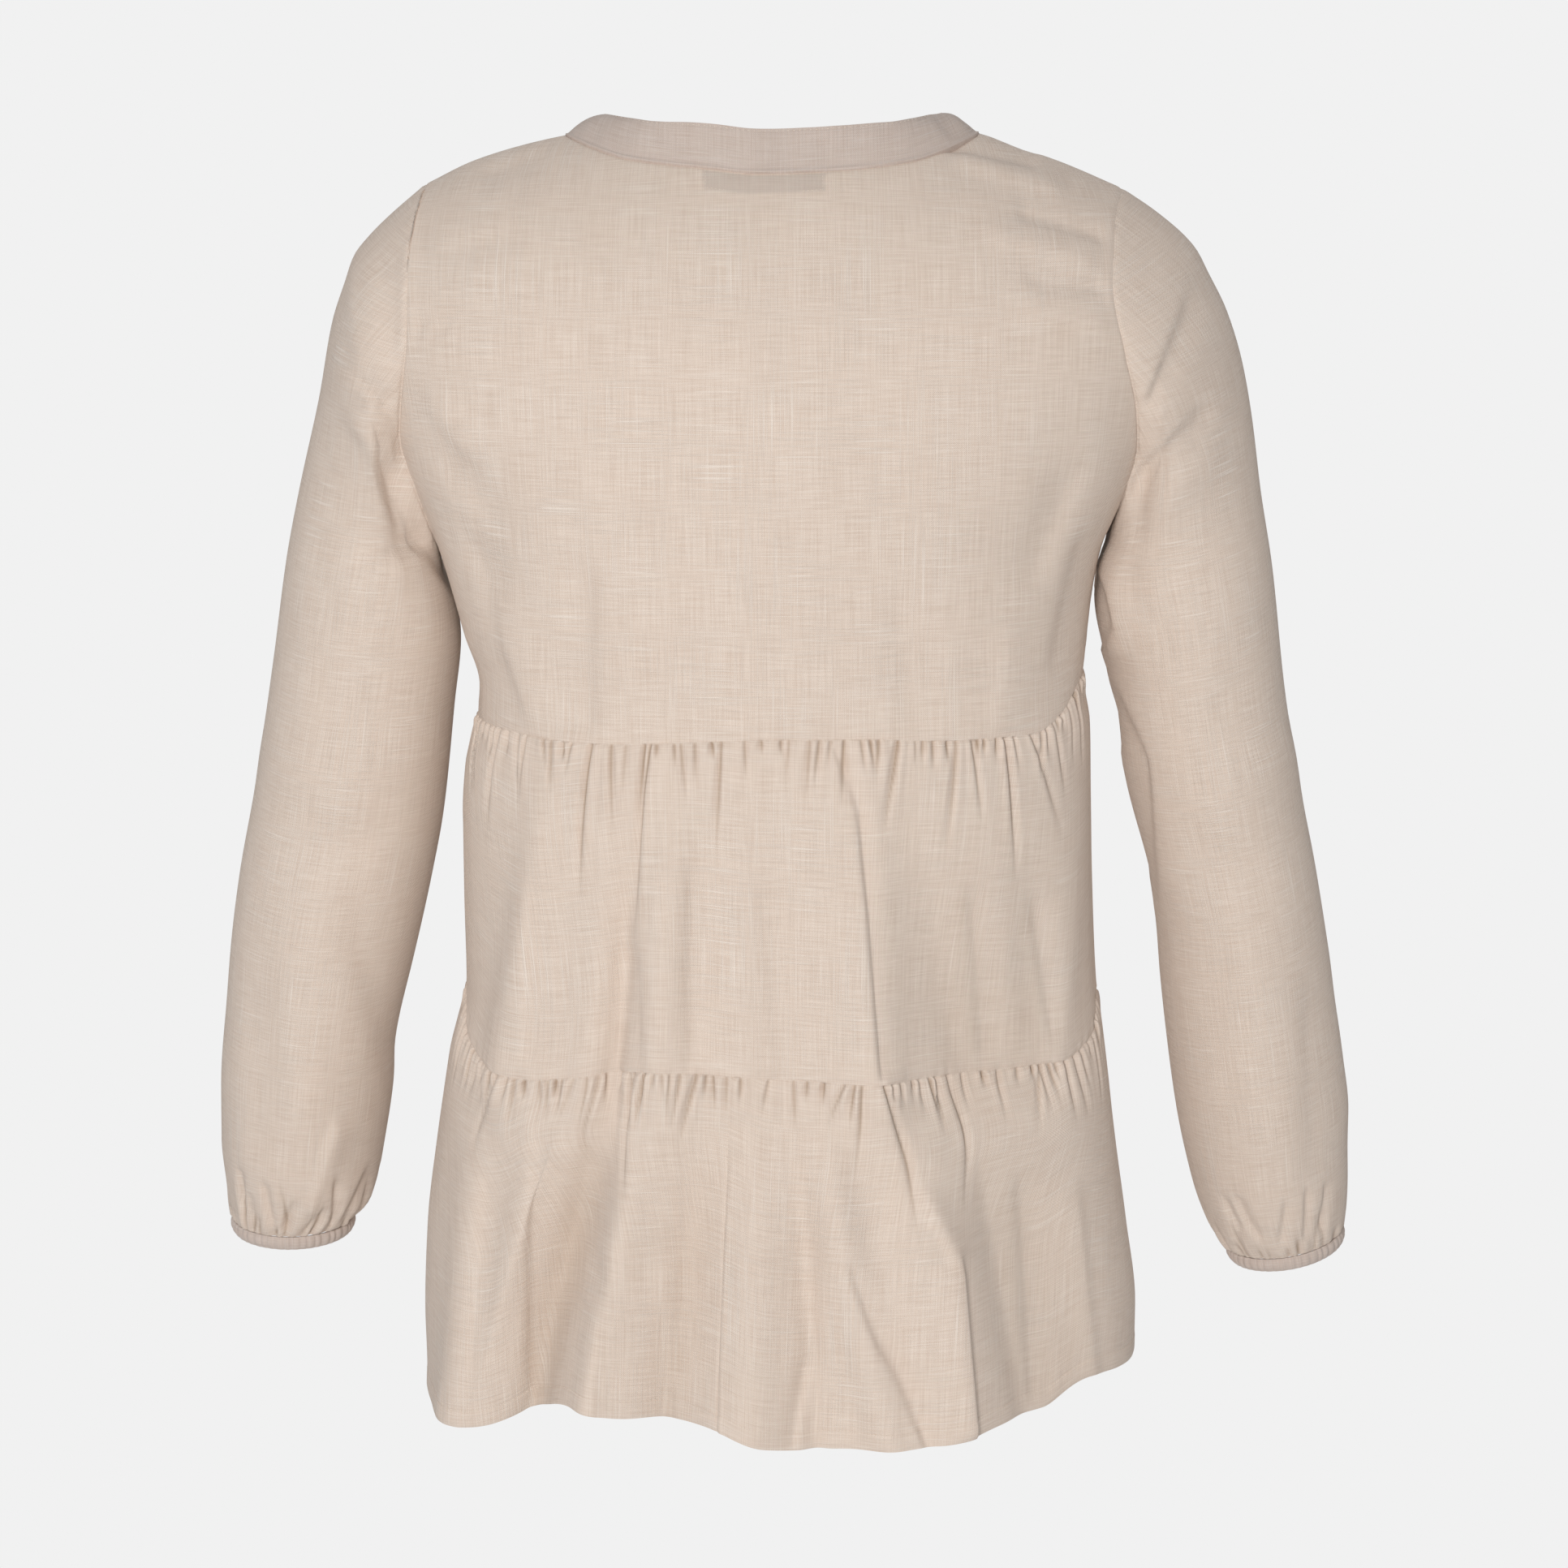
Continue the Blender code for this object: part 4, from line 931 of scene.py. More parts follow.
neckband = {
    "width": 0.0250,
    "lean": math.radians(20),
    "endTilt": math.radians(62),
    "tiltPower": 1.6,
    "bow": 0.0030,
    "thickness": 0.0015,
    "lowSteps": (0.25, 0.25, 0.3, 0.3, 0.4, 0.6, 0.9),  # rows in mm above the seam
    "topSteps": (0.3, 0.5, 0.6, 0.6),  # and below the top edge
    "evenRows": 11,
    "lip": 0.0009,  # the turned seam stands up as a thin rounded lip
    "lipPlace": 0.0009,  # and so far above the seam
    "lipWidth": 0.0008,
    "stitchFromEdge": 0.0014,
    "stitchDent": 0.0002,
    "stitchDentWidth": 0.0006,
}
bandCreases = columns(
    creaseColumns,
    (84, 10, 93, -1, 2.2, -0.6, 0.5),  # small slanting wrinkles at the band's right end
    (92, 12, 101, 1, 2.0, 0.5, 0.5),
    (99, 10, 106, 1, 1.8, -0.5, 0.4),
    (-96, 7, -102, -4, 2.2, -0.5, 0.5),
    (-60, 9, -56, -13, 5.0, -0.4, 0.3),
    (20, 4, 26, -18, 6.0, -0.4, 0.3),
    (-12, 2, -16, -18, 6.0, 0.4, 0.3),
)


def bandGrid(face, seam):
    across = seam[:, 0]
    share = np.where(across < 0, across / neckEnds[0], across / neckEnds[1])
    width, bow, endTilt = neckband["width"], neckband["bow"], neckband["endTilt"]
    low, high = np.cumsum(neckband["lowSteps"]) / 1000, np.cumsum(neckband["topSteps"])[::-1] / 1000
    even = np.linspace(low[-1], width - high[0], neckband["evenRows"])
    parts = np.concatenate([[0], low[:-1], even, width - high[1:], [width]])[::-1] / width
    if face == "back":
        tilt = endTilt * share ** neckband["tiltPower"]
        lean = neckband["lean"] * (1 - share**2)
        sideways = -np.sign(across) * np.sin(tilt)
        offset = width * np.stack([sideways, np.cos(tilt) * np.sin(lean), np.cos(tilt) * np.cos(lean)], axis=-1)
        lift = np.stack([share * 0, share * 0, bow * share**2], axis=-1)
        return np.array([seam + offset * part + lift * 4 * part * (1 - part) for part in parts])
    slopes = [math.atan2(-frontNeck["bottom"], abs(end)) for end in neckEnds]
    slope = np.where(across < 0, *slopes)
    tilt = slope + (endTilt - slope) * share**4
    inward, upward = -np.sign(across) * np.sin(tilt) * width, np.cos(tilt) * width
    middle = len(across) // 2
    inward[middle], upward[middle] = 0, width / np.cos(slope[middle])
    rows = []
    for part in parts:
        rowAcross, rowHeights = across + part * inward, seam[:, 2] + part * upward
        depth = bodyDepth(rowAcross, rowHeights, "front")
        depth = depth + (seam[:, 1] - depth) * smoothStep(share)
        rowHeights = rowHeights + 4 * part * (1 - part) * bow * share**2
        rows.append(np.stack([rowAcross, depth, rowHeights], axis=-1))
    return np.array(rows)


def dressedBand(face, grid, seamLine):
    near = edgeDistances(grid)
    relief = finishEdges(near, ("first", "last"), ("top",))
    relief = relief + neckband["lip"] * bell(near["bottom"] - neckband["lipPlace"], neckband["lipWidth"])
    fromStitches = near["top"] - neckband["stitchFromEdge"]
    relief = relief - neckband["stitchDent"] * bell(fromStitches, neckband["stitchDentWidth"])
    if face == "back":
        relief = relief + placedCreases(bandCreases, grid)
    outer = grid + gridNormals(grid) * relief[..., None]
    outer[-1] = seamLine
    return outer


onNeck = np.s_[0, quarter:-quarter]
bandBackPlain = bandGrid("back", backPlain[onNeck])
bandFrontPlain = bandGrid("front", frontPlain[:, ::-1][onNeck])[:, ::-1]
bandBackOuter = dressedBand("back", bandBackPlain, backOuter[onNeck])
bandFrontOuter = dressedBand("front", bandFrontPlain, frontOuter[onNeck])
joinSides(bandBackOuter, bandFrontOuter, np.s_[:])
neckbandBack, neckbandFront = (
    clothPiece(name, outer, clothGrain(plain), slubCottonDoubled, thickness=neckband["thickness"])
    for name, outer, plain in (
        ("neckbandBack", bandBackOuter, bandBackPlain), ("neckbandFront", bandFrontOuter, bandFrontPlain)))
print("neckband made")


tier = {
    "columns": {"back": 760, "front": 340},
    "middle": {
        "length": 0.180,
        "lowSteps": (0.3, 0.7, 1.2, 1.8, 2.5),  # rows in mm above the lower seam
        "foldGrowth": 1.10,  # the share of the length over which the folds grow to their full depth
    },
    "lower": {
        "length": 0.195,
        "lowSteps": (0.3, 0.5, 0.8, 1.6, 2.4, 2.2, 1.0, 0.5, 0.5, 0.5, 0.6, 1.4),  # and above the lower edge
        "foldGrowth": 0.65,
    },
    "topSteps": (0.25, 0.45, 0.7, 1.0, 1.3, 1.6, 2.0, 2.4, 2.8, 3.2),  # and below the upper seam
    "rowStep": 0.0046,
    "foldRunIn": 0.10,
    "foldHandover": 0.30,
    "gatherNarrowing": 0.62,
    "gatherDepth": 1.7,
    "smallGathers": (0.0078, (0.009, 0.044), (0.0008, 0.0013), (0.0014, 0.0030)),  # spacing, lengths, widths, depths
    "seamPuckers": (0.007, (0.004, 0.009), (0.0011, 0.0019), (0.0002, 0.0005)),
    "puff": 0.0012,  # the gathered cloth swells out below its seam
    "puffReach": 0.008,
    "puffEnd": 0.070,
    "sideCalm": 0.35,
    "sideMargin": 0.003,
    "creaseCalm": 0.010,
    "panelSeam": -0.030,
    "panelDrift": -0.030,
    "panelDip": 0.0006,  # depth of the seam and height of the ridge beside it
    "panelDipWidth": 0.0011,
    "panelRidgePlace": 0.003,
    "panelRidgeWidth": 0.002,
    "panelGrainShift": (0.213, 0.047),
}
hem = {
    "turning": 0.0095,
    "turnedHeight": 0.00025,
    "dent": 0.0003,
    "dentWidth": 0.0006,
    "ropes": (0.011, (0.006, 0.014), (0.0020, 0.0034), (0.0001, 0.0003)),  # spacing, lengths, widths, depths
}
# broad folds, in metres: x at the seam, x at the lower edge, height, width, soft side
foldColumns = "top low lift width skew"
middleBackFolds = columns(
    foldColumns,
    (-0.1250, -0.1304, 0.0082, 0.0106, 0.11),
    (-0.1207, -0.1469, 0.0130, 0.0112, -0.08),
    (-0.0829, -0.0942, 0.0068, 0.0134, -0.61),
    (-0.0741, -0.0892, -0.0108, 0.0067, -0.18),
    (-0.0608, -0.0590, 0.0160, 0.0166, 0.03),
    (-0.0316, -0.0528, -0.0071, 0.0143, 0.05),
    (-0.0258, -0.0059, 0.0050, 0.0142, -0.81),
    (-0.0011, -0.0028, -0.0038, 0.0106, -0.15),
    (0.0401, 0.0521, 0.0160, 0.0183, -0.51),
    (0.0683, 0.1049, -0.0120, 0.0300, 0.80),
    (0.0839, 0.1272, -0.0020, 0.0172, -0.56),
    (0.1266, 0.1500, -0.0060, 0.0130, 0.00),
    (0.1650, 0.1560, 0.0050, 0.0090, -0.30),
)
middleFrontFolds = columns(
    foldColumns,
    (-0.140, -0.148, -0.0060, 0.014, 0.4),
    (-0.110, -0.118, 0.0090, 0.020, -0.6),
    (-0.068, -0.074, -0.0080, 0.014, 0.3),
    (-0.032, -0.030, 0.0070, 0.020, 0.5),
    (0.006, 0.004, -0.0100, 0.015, -0.4),
    (0.044, 0.050, 0.0090, 0.022, -0.7),
    (0.084, 0.090, -0.0070, 0.014, 0.4),
    (0.118, 0.126, 0.0080, 0.019, 0.5),
    (0.148, 0.156, -0.0050, 0.013, 0.0),
)
lowerBackFolds = columns(
    foldColumns,
    (-0.1601, -0.1747, 0.0099, 0.0112, -0.11),
    (-0.1106, -0.1676, 0.0087, 0.0083, -0.99),
    (-0.0893, -0.1456, -0.0220, 0.0135, 0.40),
    (-0.0710, -0.1014, 0.0120, 0.0114, 0.08),
    (-0.0319, -0.0627, -0.0158, 0.0179, 0.34),
    (-0.0183, -0.0160, 0.0141, 0.0215, -0.14),
    (0.0088, 0.0204, -0.0036, 0.0060, -0.11),
    (0.0147, 0.0577, 0.0126, 0.0142, 0.00),
    (0.0652, 0.0909, 0.0172, 0.0253, -0.01),
    (0.1022, 0.1400, -0.0110, 0.0200, 0.80),
    (0.1385, 0.1700, -0.0040, 0.0160, -0.30),
)
lowerFrontFolds = columns(
    foldColumns,
    (-0.152, -0.170, 0.0080, 0.018, 0.3),
    (-0.122, -0.134, -0.0120, 0.020, -0.5),
    (-0.084, -0.094, 0.0120, 0.024, -0.7),
    (-0.044, -0.052, -0.0120, 0.018, 0.3),
    (-0.006, -0.008, 0.0120, 0.026, 0.6),
    (0.034, 0.040, -0.0120, 0.018, 0.2),
    (0.072, 0.082, 0.0120, 0.024, -0.6),
    (0.112, 0.128, -0.0120, 0.020, 0.5),
    (0.146, 0.164, 0.0080, 0.018, 0.0),
)

# the gathers that show most, in mm: x at the seam, x at the lower end, length, width, depth, soft side
gatherColumns = "top end length width depth skew"
middleBackGathers = columns(
    gatherColumns,
    (-151.1, -158.4, 62, 2.2, 1.5, -1),
    (-127.0, -123.6, 20, 1.5, 1.0, 1),
    (-122.7, -121.5, 36, 1.6, 1.1, 1),
    (-110.7, -114.6, 20, 1.4, 0.9, -1),
    (-100.0, -106.8, 95, 2.0, 1.6, -1),
    (-89.7, -87.9, 55, 1.8, 1.2, 1),
    (-68.2, -78.3, 115, 2.2, 1.7, -1),
    (-52.3, -48.4, 36, 1.6, 1.0, 1),
    (-44.6, -44.1, 24, 1.5, 1.0, 1),
    (-30.4, -34.2, 74, 1.8, 1.2, -1),
    (-18.3, -17.0, 26, 1.5, 0.9, 1),
    (5.3, 3.6, 24, 1.5, 0.9, -1),
    (16.4, 13.9, 38, 1.6, 1.0, -1),
    (43.5, 46.5, 22, 1.5, 0.9, 1),
    (63.7, 54.7, 58, 2.0, 1.5, -1),
    (72.7, 72.3, 16, 1.4, 0.8, 1),
    (94.6, 87.3, 72, 1.8, 1.2, -1),
    (102.8, 108.8, 52, 1.7, 1.1, 1),
    (120.8, 128.1, 88, 2.1, 1.6, 1),
    (126.0, 129.0, 20, 1.4, 0.9, 1),
    (135.4, 155.6, 72, 1.8, 1.2, 1),
    (148.0, 156.0, 50, 1.8, 1.1, 1),
)
middleFrontGathers = columns(
    gatherColumns,
    (-146, -152, 66, 2.2, 1.5, -1),
    (-121, -126, 40, 1.7, 1.1, 1),
    (-98, -96, 84, 2.0, 1.5, -1),
    (-71, -77, 58, 1.9, 1.2, -1),
    (-44, -42, 28, 1.5, 0.9, 1),
    (-19, -24, 92, 2.1, 1.6, -1),
    (8, 12, 46, 1.7, 1.1, 1),
    (33, 30, 24, 1.5, 0.9, -1),
    (52, 60, 104, 2.2, 1.6, 1),
    (79, 76, 38, 1.6, 1.0, -1),
    (101, 109, 70, 2.0, 1.4, 1),
    (127, 132, 32, 1.6, 1.0, 1),
    (143, 154, 64, 2.0, 1.3, 1),
)
lowerBackGathers = columns(
    gatherColumns,
    (-152.6, -164.0, 52, 2.2, 1.6, -1),
    (-146.5, -150.8, 18, 1.5, 1.0, -1),
    (-143.1, -146.0, 34, 1.6, 1.0, 1),
    (-116.8, -121.1, 24, 1.6, 1.0, -1),
    (-96.0, -99.0, 60, 1.8, 1.0, -1),
    (-77.5, -82.4, 78, 2.1, 1.6, -1),
    (-58.1, -60.3, 26, 1.5, 1.0, 1),
    (-52.0, -59.0, 36, 1.7, 1.1, -1),
    (-43.5, -54.9, 46, 1.8, 1.3, -1),
    (-5.5, -9.8, 22, 1.5, 0.9, 1),
    (7.5, 9.5, 34, 1.6, 0.9, 1),
    (35.0, 24.3, 26, 1.7, 1.2, -1),
    (44.1, 39.2, 54, 2.4, 1.3, 1),
    (56.2, 76.0, 96, 2.4, 1.6, 1),
    (75.0, 79.0, 22, 1.5, 0.9, 1),
    (90.7, 99.4, 82, 2.3, 1.4, 1),
    (98.4, 102.3, 22, 1.5, 0.9, 1),
    (118.0, 123.0, 30, 1.6, 1.0, 1),
    (142.0, 148.5, 28, 1.6, 1.1, 1),
    (142.0, 136.8, 44, 1.7, 1.0, -1),
)
lowerFrontGathers = columns(
    gatherColumns,
    (-148, -158, 58, 2.2, 1.5, -1),
    (-122, -127, 32, 1.6, 1.0, -1),
    (-94, -102, 82, 2.2, 1.6, -1),
    (-66, -63, 36, 1.7, 1.0, 1),
    (-40, -47, 64, 2.0, 1.4, -1),
    (-14, -12, 26, 1.5, 0.9, 1),
    (12, 18, 88, 2.2, 1.6, 1),
    (41, 38, 38, 1.7, 1.0, -1),
    (63, 71, 70, 2.0, 1.4, 1),
    (91, 88, 30, 1.6, 0.9, -1),
    (112, 121, 76, 2.2, 1.5, 1),
    (144, 154, 46, 1.9, 1.2, 1),
)
# creases that do not start at a seam
middleBackCreases = columns(
    creaseColumns,
    (29.3, -322, 43.1, -356, 2.4, -1.6, 0.8),  # the one that runs the tier's full height
    (43.1, -356, 49.5, -416, 3.0, -2.4, 0.8),
    (49.5, -416, 56.0, -496, 3.6, -2.6, 0.8),
    (-78, -430, -76, -492, 5.0, -1.2, -0.6),
    (-131, -400, -134, -492, 5.0, -1.3, 0.6),
    (-45, -380, -46, -490, 6.0, -1.1, 0.5),
    (104, -400, 112, -492, 6.0, -1.1, 0.6),
    (138, -410, 150, -486, 5.0, -1.2, 0.5),
)
middleFrontCreases = columns(
    creaseColumns,
    (-24, -396, -20, -494, 5.0, -1.6, 0.8),
    (60, -410, 66, -492, 4.0, -1.8, 0.7),
    (-96, -400, -102, -490, 6.0, -1.2, -0.6),
    (112, -398, 120, -488, 6.0, -1.2, 0.6),
)
lowerBackCreases = columns(
    creaseColumns,
    (76.2, -560, 94.9, -598, 3.4, 2.2, 0.8),  # overhanging fold down to the hem
    (94.9, -598, 103.5, -692, 3.6, 3.4, -1.0),
    (37.7, -598, 52.6, -635, 3.0, -2.0, 0.7),  # slanting crease to the hem
    (52.6, -635, 65.6, -657, 3.0, -2.4, 0.7),
    (65.6, -657, 80.6, -696, 3.4, -2.4, 0.7),
    (15.3, -652, 7.5, -695, 3.0, -1.6, -0.6),
    (-129.3, -512, -133.6, -690, 6.0, -2.2, 0.8),
    (-60, -600, -52, -690, 7.0, 1.4, 0.4),
    (-158, -560, -170, -692, 6.0, -1.4, 0.6),
    (132, -560, 140, -680, 7.0, -1.6, 0.5),
    (160, -570, 172, -680, 6.0, 1.4, -0.5),
    (-96, -600, -94, -684, 6.0, -1.2, 0.5),
    (30, -530, 26, -640, 8.0, 1.3, 0.5),
)
lowerFrontCreases = columns(
    creaseColumns,
    (-102, -560, -112, -690, 6.0, -2.0, 0.7),
    (-46, -580, -50, -692, 5.0, -1.8, -0.7),
    (20, -560, 26, -694, 6.0, 2.0, 0.8),
    (72, -590, 80, -690, 5.0, -1.9, 0.6),
    (128, -560, 142, -686, 6.0, -1.8, 0.6),
)


def foldRelief(folds, across, down, growth):
    relief = np.zeros_like(across)
    for top, low, lift, width, skew in zip(*folds.values()):
        relief += lift * sidedBell(across - (top + (low - top) * down), width, skew)
    return relief * smoothStep((down + tier["foldRunIn"]) / growth)


def tierRows(level):
    # rows lie close together below the seam, where the gathers are, and at the lower edge
    high, low = np.array(tier["topSteps"]) / 1000, np.array(level["lowSteps"])[::-1] / 1000
    rest = level["length"] - high.sum() - low.sum()
    count = int(round(rest / tier["rowStep"]))
    rows = np.concatenate([[0], np.cumsum(np.concatenate([high, np.full(count, rest / count), low]))])
    return rows / rows[-1]


def tierGrid(face, upper, lower, folds, foldsAbove=None, drift=0.0):
    # the plain swelling form of one half of a tier, with its broad folds and their heights
    count, side = tier["columns"][face], -1 if face == "back" else 1
    level = tier["middle" if foldsAbove is None else "lower"]
    places = evenPlaces(count, face)
    top, bottom = (readSmoothly(line, "place", face, places) for line in (upper, lower))
    atSide = np.sin(math.pi * np.arange(count + 1) / count) ** tier["sideCalm"]
    grid, heightsOfFolds = [], []
    for down in tierRows(level):
        heights = top + (bottom - top) * down
        at = places + drift * down * (1 - places**2)
        section = (1 - np.minimum(abs(at), 1) ** sectionPower) ** (1 / sectionPower)
        depth = readSmoothly(body, "height", face, heights) * section * side
        plain = np.stack([at * halfWidth(at, heights), depth, heights], axis=-1)
        slope = np.gradient(plain, axis=0)
        outward = -side * unit(np.stack([slope[:, 1], -slope[:, 0], np.zeros(count + 1)], axis=-1))
        outward[0], outward[-1] = (-1, 0, 0), (1, 0, 0)
        relief = foldRelief(folds, plain[:, 0], down, level["foldGrowth"])
        if foldsAbove is not None:
            own = smoothStep(down / tier["foldHandover"])
            above = foldRelief(foldsAbove, plain[:, 0], 1.0, tier["middle"]["foldGrowth"])
            relief = relief * own + above * (1 - own)
        grid.append(plain + outward * (relief * atSide)[:, None])
        heightsOfFolds.append(relief * atSide)
    return np.array(grid), np.array(heightsOfFolds)


def dressedTier(grid, folds, side, gathers, creases, seed, turned, seamLine):
    # adds the gathers, creases and puckers; columns and the seam's line run from -x to +x here
    near = edgeDistances(grid)
    run = runLengths(grid, 1)
    middle = run.shape[1] // 2
    run = run - run[:, [middle]]
    below = near["top"]
    placed = []
    for top, end, length, width, depth, skew in zip(*gathers.values()):
        lowRow = int(np.argmin(abs(below[:, middle] - length / 1000)))
        start = np.interp(top / 1000, grid[0, :, 0], run[0])
        finish = np.interp(end / 1000, grid[lowRow, :, 0], run[lowRow])
        placed.append((start, finish - start, length / 1000, width / 1000 * tier["gatherNarrowing"],
                       -depth / 1000 * tier["gatherDepth"], skew))
    span = (run[0, 0] + tier["sideMargin"], run[0, -1] - tier["sideMargin"])
    small = randomGathers(seed, *span, *tier["smallGathers"], [entry[0] for entry in placed])
    relief, hollow = hangingGathers(placed + small, run, below)
    relief = relief + finishEdges(near, {"top", "bottom", "first", "last"} - set(turned), turned)
    calm = smoothStep(np.minimum(near["first"], near["last"]) / tier["creaseCalm"])
    puff = tier["puff"] * (1 - np.exp(-below / tier["puffReach"])) * (1 - smoothStep(below / tier["puffEnd"]))
    relief = relief + (placedCreases(creases, grid) + puff) * calm
    # painted shade: the dark lines of the gathers, and the hollows of the broad folds
    hollow = np.maximum(hollow, paintedShadeMask(folds, cloth["foldShadeDepth"]))
    if "bottom" in turned:
        fromStitches = near["bottom"] - hem["turning"]
        turning = fromStitches / hem["dentWidth"]
        relief = relief + hem["turnedHeight"] * smoothStep(0.5 - turning / 2) - hem["dent"] * np.exp(-(turning**2))
        ropes = randomGathers(seed + 5, *span, *hem["ropes"])
        relief = relief + hangingGathers(ropes, run, abs(fromStitches))[0]
    else:
        relief = relief + puckers(near["bottom"], run, seed + 7, tier["seamPuckers"])
    outer = grid + gridNormals(grid) * relief[..., None] * -side
    outer[0] = alongSeam(seamLine, grid.shape[1])
    return outer, hollow


def tierHalf(face, seams, tables, seed, pieceAbove, turned=(), **fromAbove):
    # outer points, plain points and painted fold shade of one half; the columns run round the body
    folds, gathers, creases = tables
    side = -1 if face == "back" else 1
    plain, heights = tierGrid(face, *seams, folds, **fromAbove)
    seamLine = pieceAbove[-1, ::-side]
    outer, hollow = dressedTier(plain, heights, side, gathers, creases, seed, turned, seamLine)
    return [values[:, ::-side] for values in (outer, plain, hollow)]


middleSeams, lowerSeams = (waistSeam, lowerSeam), (lowerSeam, hemLine)
middleBackOuter, middleBackPlain, middleBackPaintedShade = tierHalf(
    "back", middleSeams, (middleBackFolds, middleBackGathers, middleBackCreases), 21, backOuter)
middleFrontOuter, middleFrontPlain, middleFrontPaintedShade = tierHalf(
    "front", middleSeams, (middleFrontFolds, middleFrontGathers, middleFrontCreases), 22, frontOuter)
joinSides(middleBackOuter, middleFrontOuter, np.s_[1:])
lowerBackOuter, lowerBackPlain, lowerBackPaintedShade = tierHalf(
    "back", lowerSeams, (lowerBackFolds, lowerBackGathers, lowerBackCreases), 23, middleBackOuter, ("bottom",),
    foldsAbove=middleBackFolds, drift=tier["panelDrift"])
lowerFrontOuter, lowerFrontPlain, lowerFrontPaintedShade = tierHalf(
    "front", lowerSeams, (lowerFrontFolds, lowerFrontGathers, lowerFrontCreases), 24, middleFrontOuter, ("bottom",),
    foldsAbove=middleFrontFolds)
joinSides(lowerBackOuter, lowerFrontOuter, np.s_[1:])

# the lower tier's back is joined from two panels, with a dip and a slight ridge at the seam
panelColumn = int(np.argmin(abs(lowerBackPlain[len(lowerBackPlain) // 2, :, 0] - tier["panelSeam"])))
backRun = runLengths(lowerBackPlain, 1)
fromSeam = backRun - backRun[:, [panelColumn]]
ridge = bell(fromSeam - tier["panelRidgePlace"], tier["panelRidgeWidth"])
dip = -tier["panelDip"] * bell(fromSeam, tier["panelDipWidth"]) + tier["panelDip"] * ridge
lowerBackOuter = lowerBackOuter + gridNormals(lowerBackPlain) * dip[..., None]

lowerGrain = clothGrain(lowerBackPlain)
leftPart, rightPart = np.s_[:, : panelColumn + 1], np.s_[:, panelColumn:]
middleTierBack, middleTierFront, lowerTierBackLeft, lowerTierBackRight, lowerTierFront = (
    clothPiece(name, outer, grain, marks={"hollow": hollow}) for name, outer, grain, hollow in (
        ("middleTierBack", middleBackOuter, clothGrain(middleBackPlain), middleBackPaintedShade),
        ("middleTierFront", middleFrontOuter, clothGrain(middleFrontPlain), middleFrontPaintedShade),
        ("lowerTierBackLeft", lowerBackOuter[leftPart], lowerGrain[leftPart] + tier["panelGrainShift"],
         lowerBackPaintedShade[leftPart]),
        ("lowerTierBackRight", lowerBackOuter[rightPart], lowerGrain[rightPart], lowerBackPaintedShade[rightPart]),
        ("lowerTierFront", lowerFrontOuter, clothGrain(lowerFrontPlain), lowerFrontPaintedShade)))
print("tiers made")


sleeve = {
    "rings": 110,
    "firstRing": 0.0008,
    "lastRing": 0.9995,
    "innerCrowding": 1.75,
    "innerStart": 0.35,
    "innerStartPower": 6,
    "ringCrowding": 0.55,
    "armholeFade": 0.34,
    "creaseCalm": 0.012,
    "facing": 1.4,  # how sharply the back's folds give way to the front's
    "frontFolds": 0.8,  # the front has like folds, weaker and moved by so many mm
    "frontShift": {"x1": 6, "x2": -4, "z1": -9, "z2": -5},
    "endLength": 0.22,  # cloth drawn up by the cuff
    "headLength": 0.45,  # cloth eased into the armhole
    "margin": 0.001,
    "cuffGathers": (0.0072, (0.010, 0.052), (0.0011, 0.0018), (0.0012, 0.0028)),  # spacing, lengths, widths, depths
    "headEase": (0.0085, (0.004, 0.012), (0.0013, 0.0022), (0.0001, 0.0004)),
    "swell": 0.0016,
    "swellReach": 0.007,
    "swellEnd": 0.060,
}
sleeveOutline = {
    (-1, "outer"): columns(
        "height across",
        (-0.6110, 0.3124), (-0.5906, 0.3138), (-0.5635, 0.3168), (-0.5312, 0.3163), (-0.4814, 0.3118),
        (-0.4465, 0.3082), (-0.4091, 0.3027), (-0.3604, 0.2931), (-0.2874, 0.2812), (-0.2315, 0.2730),
        (-0.1926, 0.2651), (-0.1427, 0.2533), (-0.1011, 0.2450), (-0.0793, 0.2375), (-0.0655, 0.2324),
        (-0.0549, 0.2240), (-0.0439, 0.2127), (-0.0268, 0.1925),
    ),
    (-1, "inner"): columns(
        "height across",
        (-0.6115, 0.2430), (-0.5993, 0.2336), (-0.5635, 0.2240), (-0.4989, 0.2138), (-0.4611, 0.2060),
        (-0.4119, 0.1951), (-0.3803, 0.1888), (-0.3604, 0.1860), (-0.3158, 0.1812), (-0.2760, 0.1770),
        (-0.2550, 0.1795), (-0.2380, 0.1862), (-0.2250, 0.1870),
    ),
    (1, "outer"): columns(
        "height across",
        (-0.6165, 0.3218), (-0.5785, 0.3231), (-0.5485, 0.3232), (-0.5165, 0.3195), (-0.4465, 0.3081),
        (-0.4030, 0.3003), (-0.3604, 0.2912), (-0.3043, 0.2815), (-0.2369, 0.2735), (-0.1953, 0.2665),
        (-0.1534, 0.2607), (-0.1234, 0.2547), (-0.0957, 0.2456), (-0.0740, 0.2345), (-0.0629, 0.2286),
        (-0.0549, 0.2217), (-0.0412, 0.2051), (-0.0288, 0.1865),
    ),
    (1, "inner"): columns(
        "height across",
        (-0.6290, 0.2556), (-0.6114, 0.2445), (-0.5877, 0.2350), (-0.5485, 0.2258), (-0.5046, 0.2192),
        (-0.4696, 0.2150), (-0.4362, 0.2118), (-0.4003, 0.2030), (-0.3604, 0.1938), (-0.3208, 0.1868),
        (-0.2911, 0.1820), (-0.2546, 0.1752), (-0.2300, 0.1800), (-0.2105, 0.1828),
    ),
}
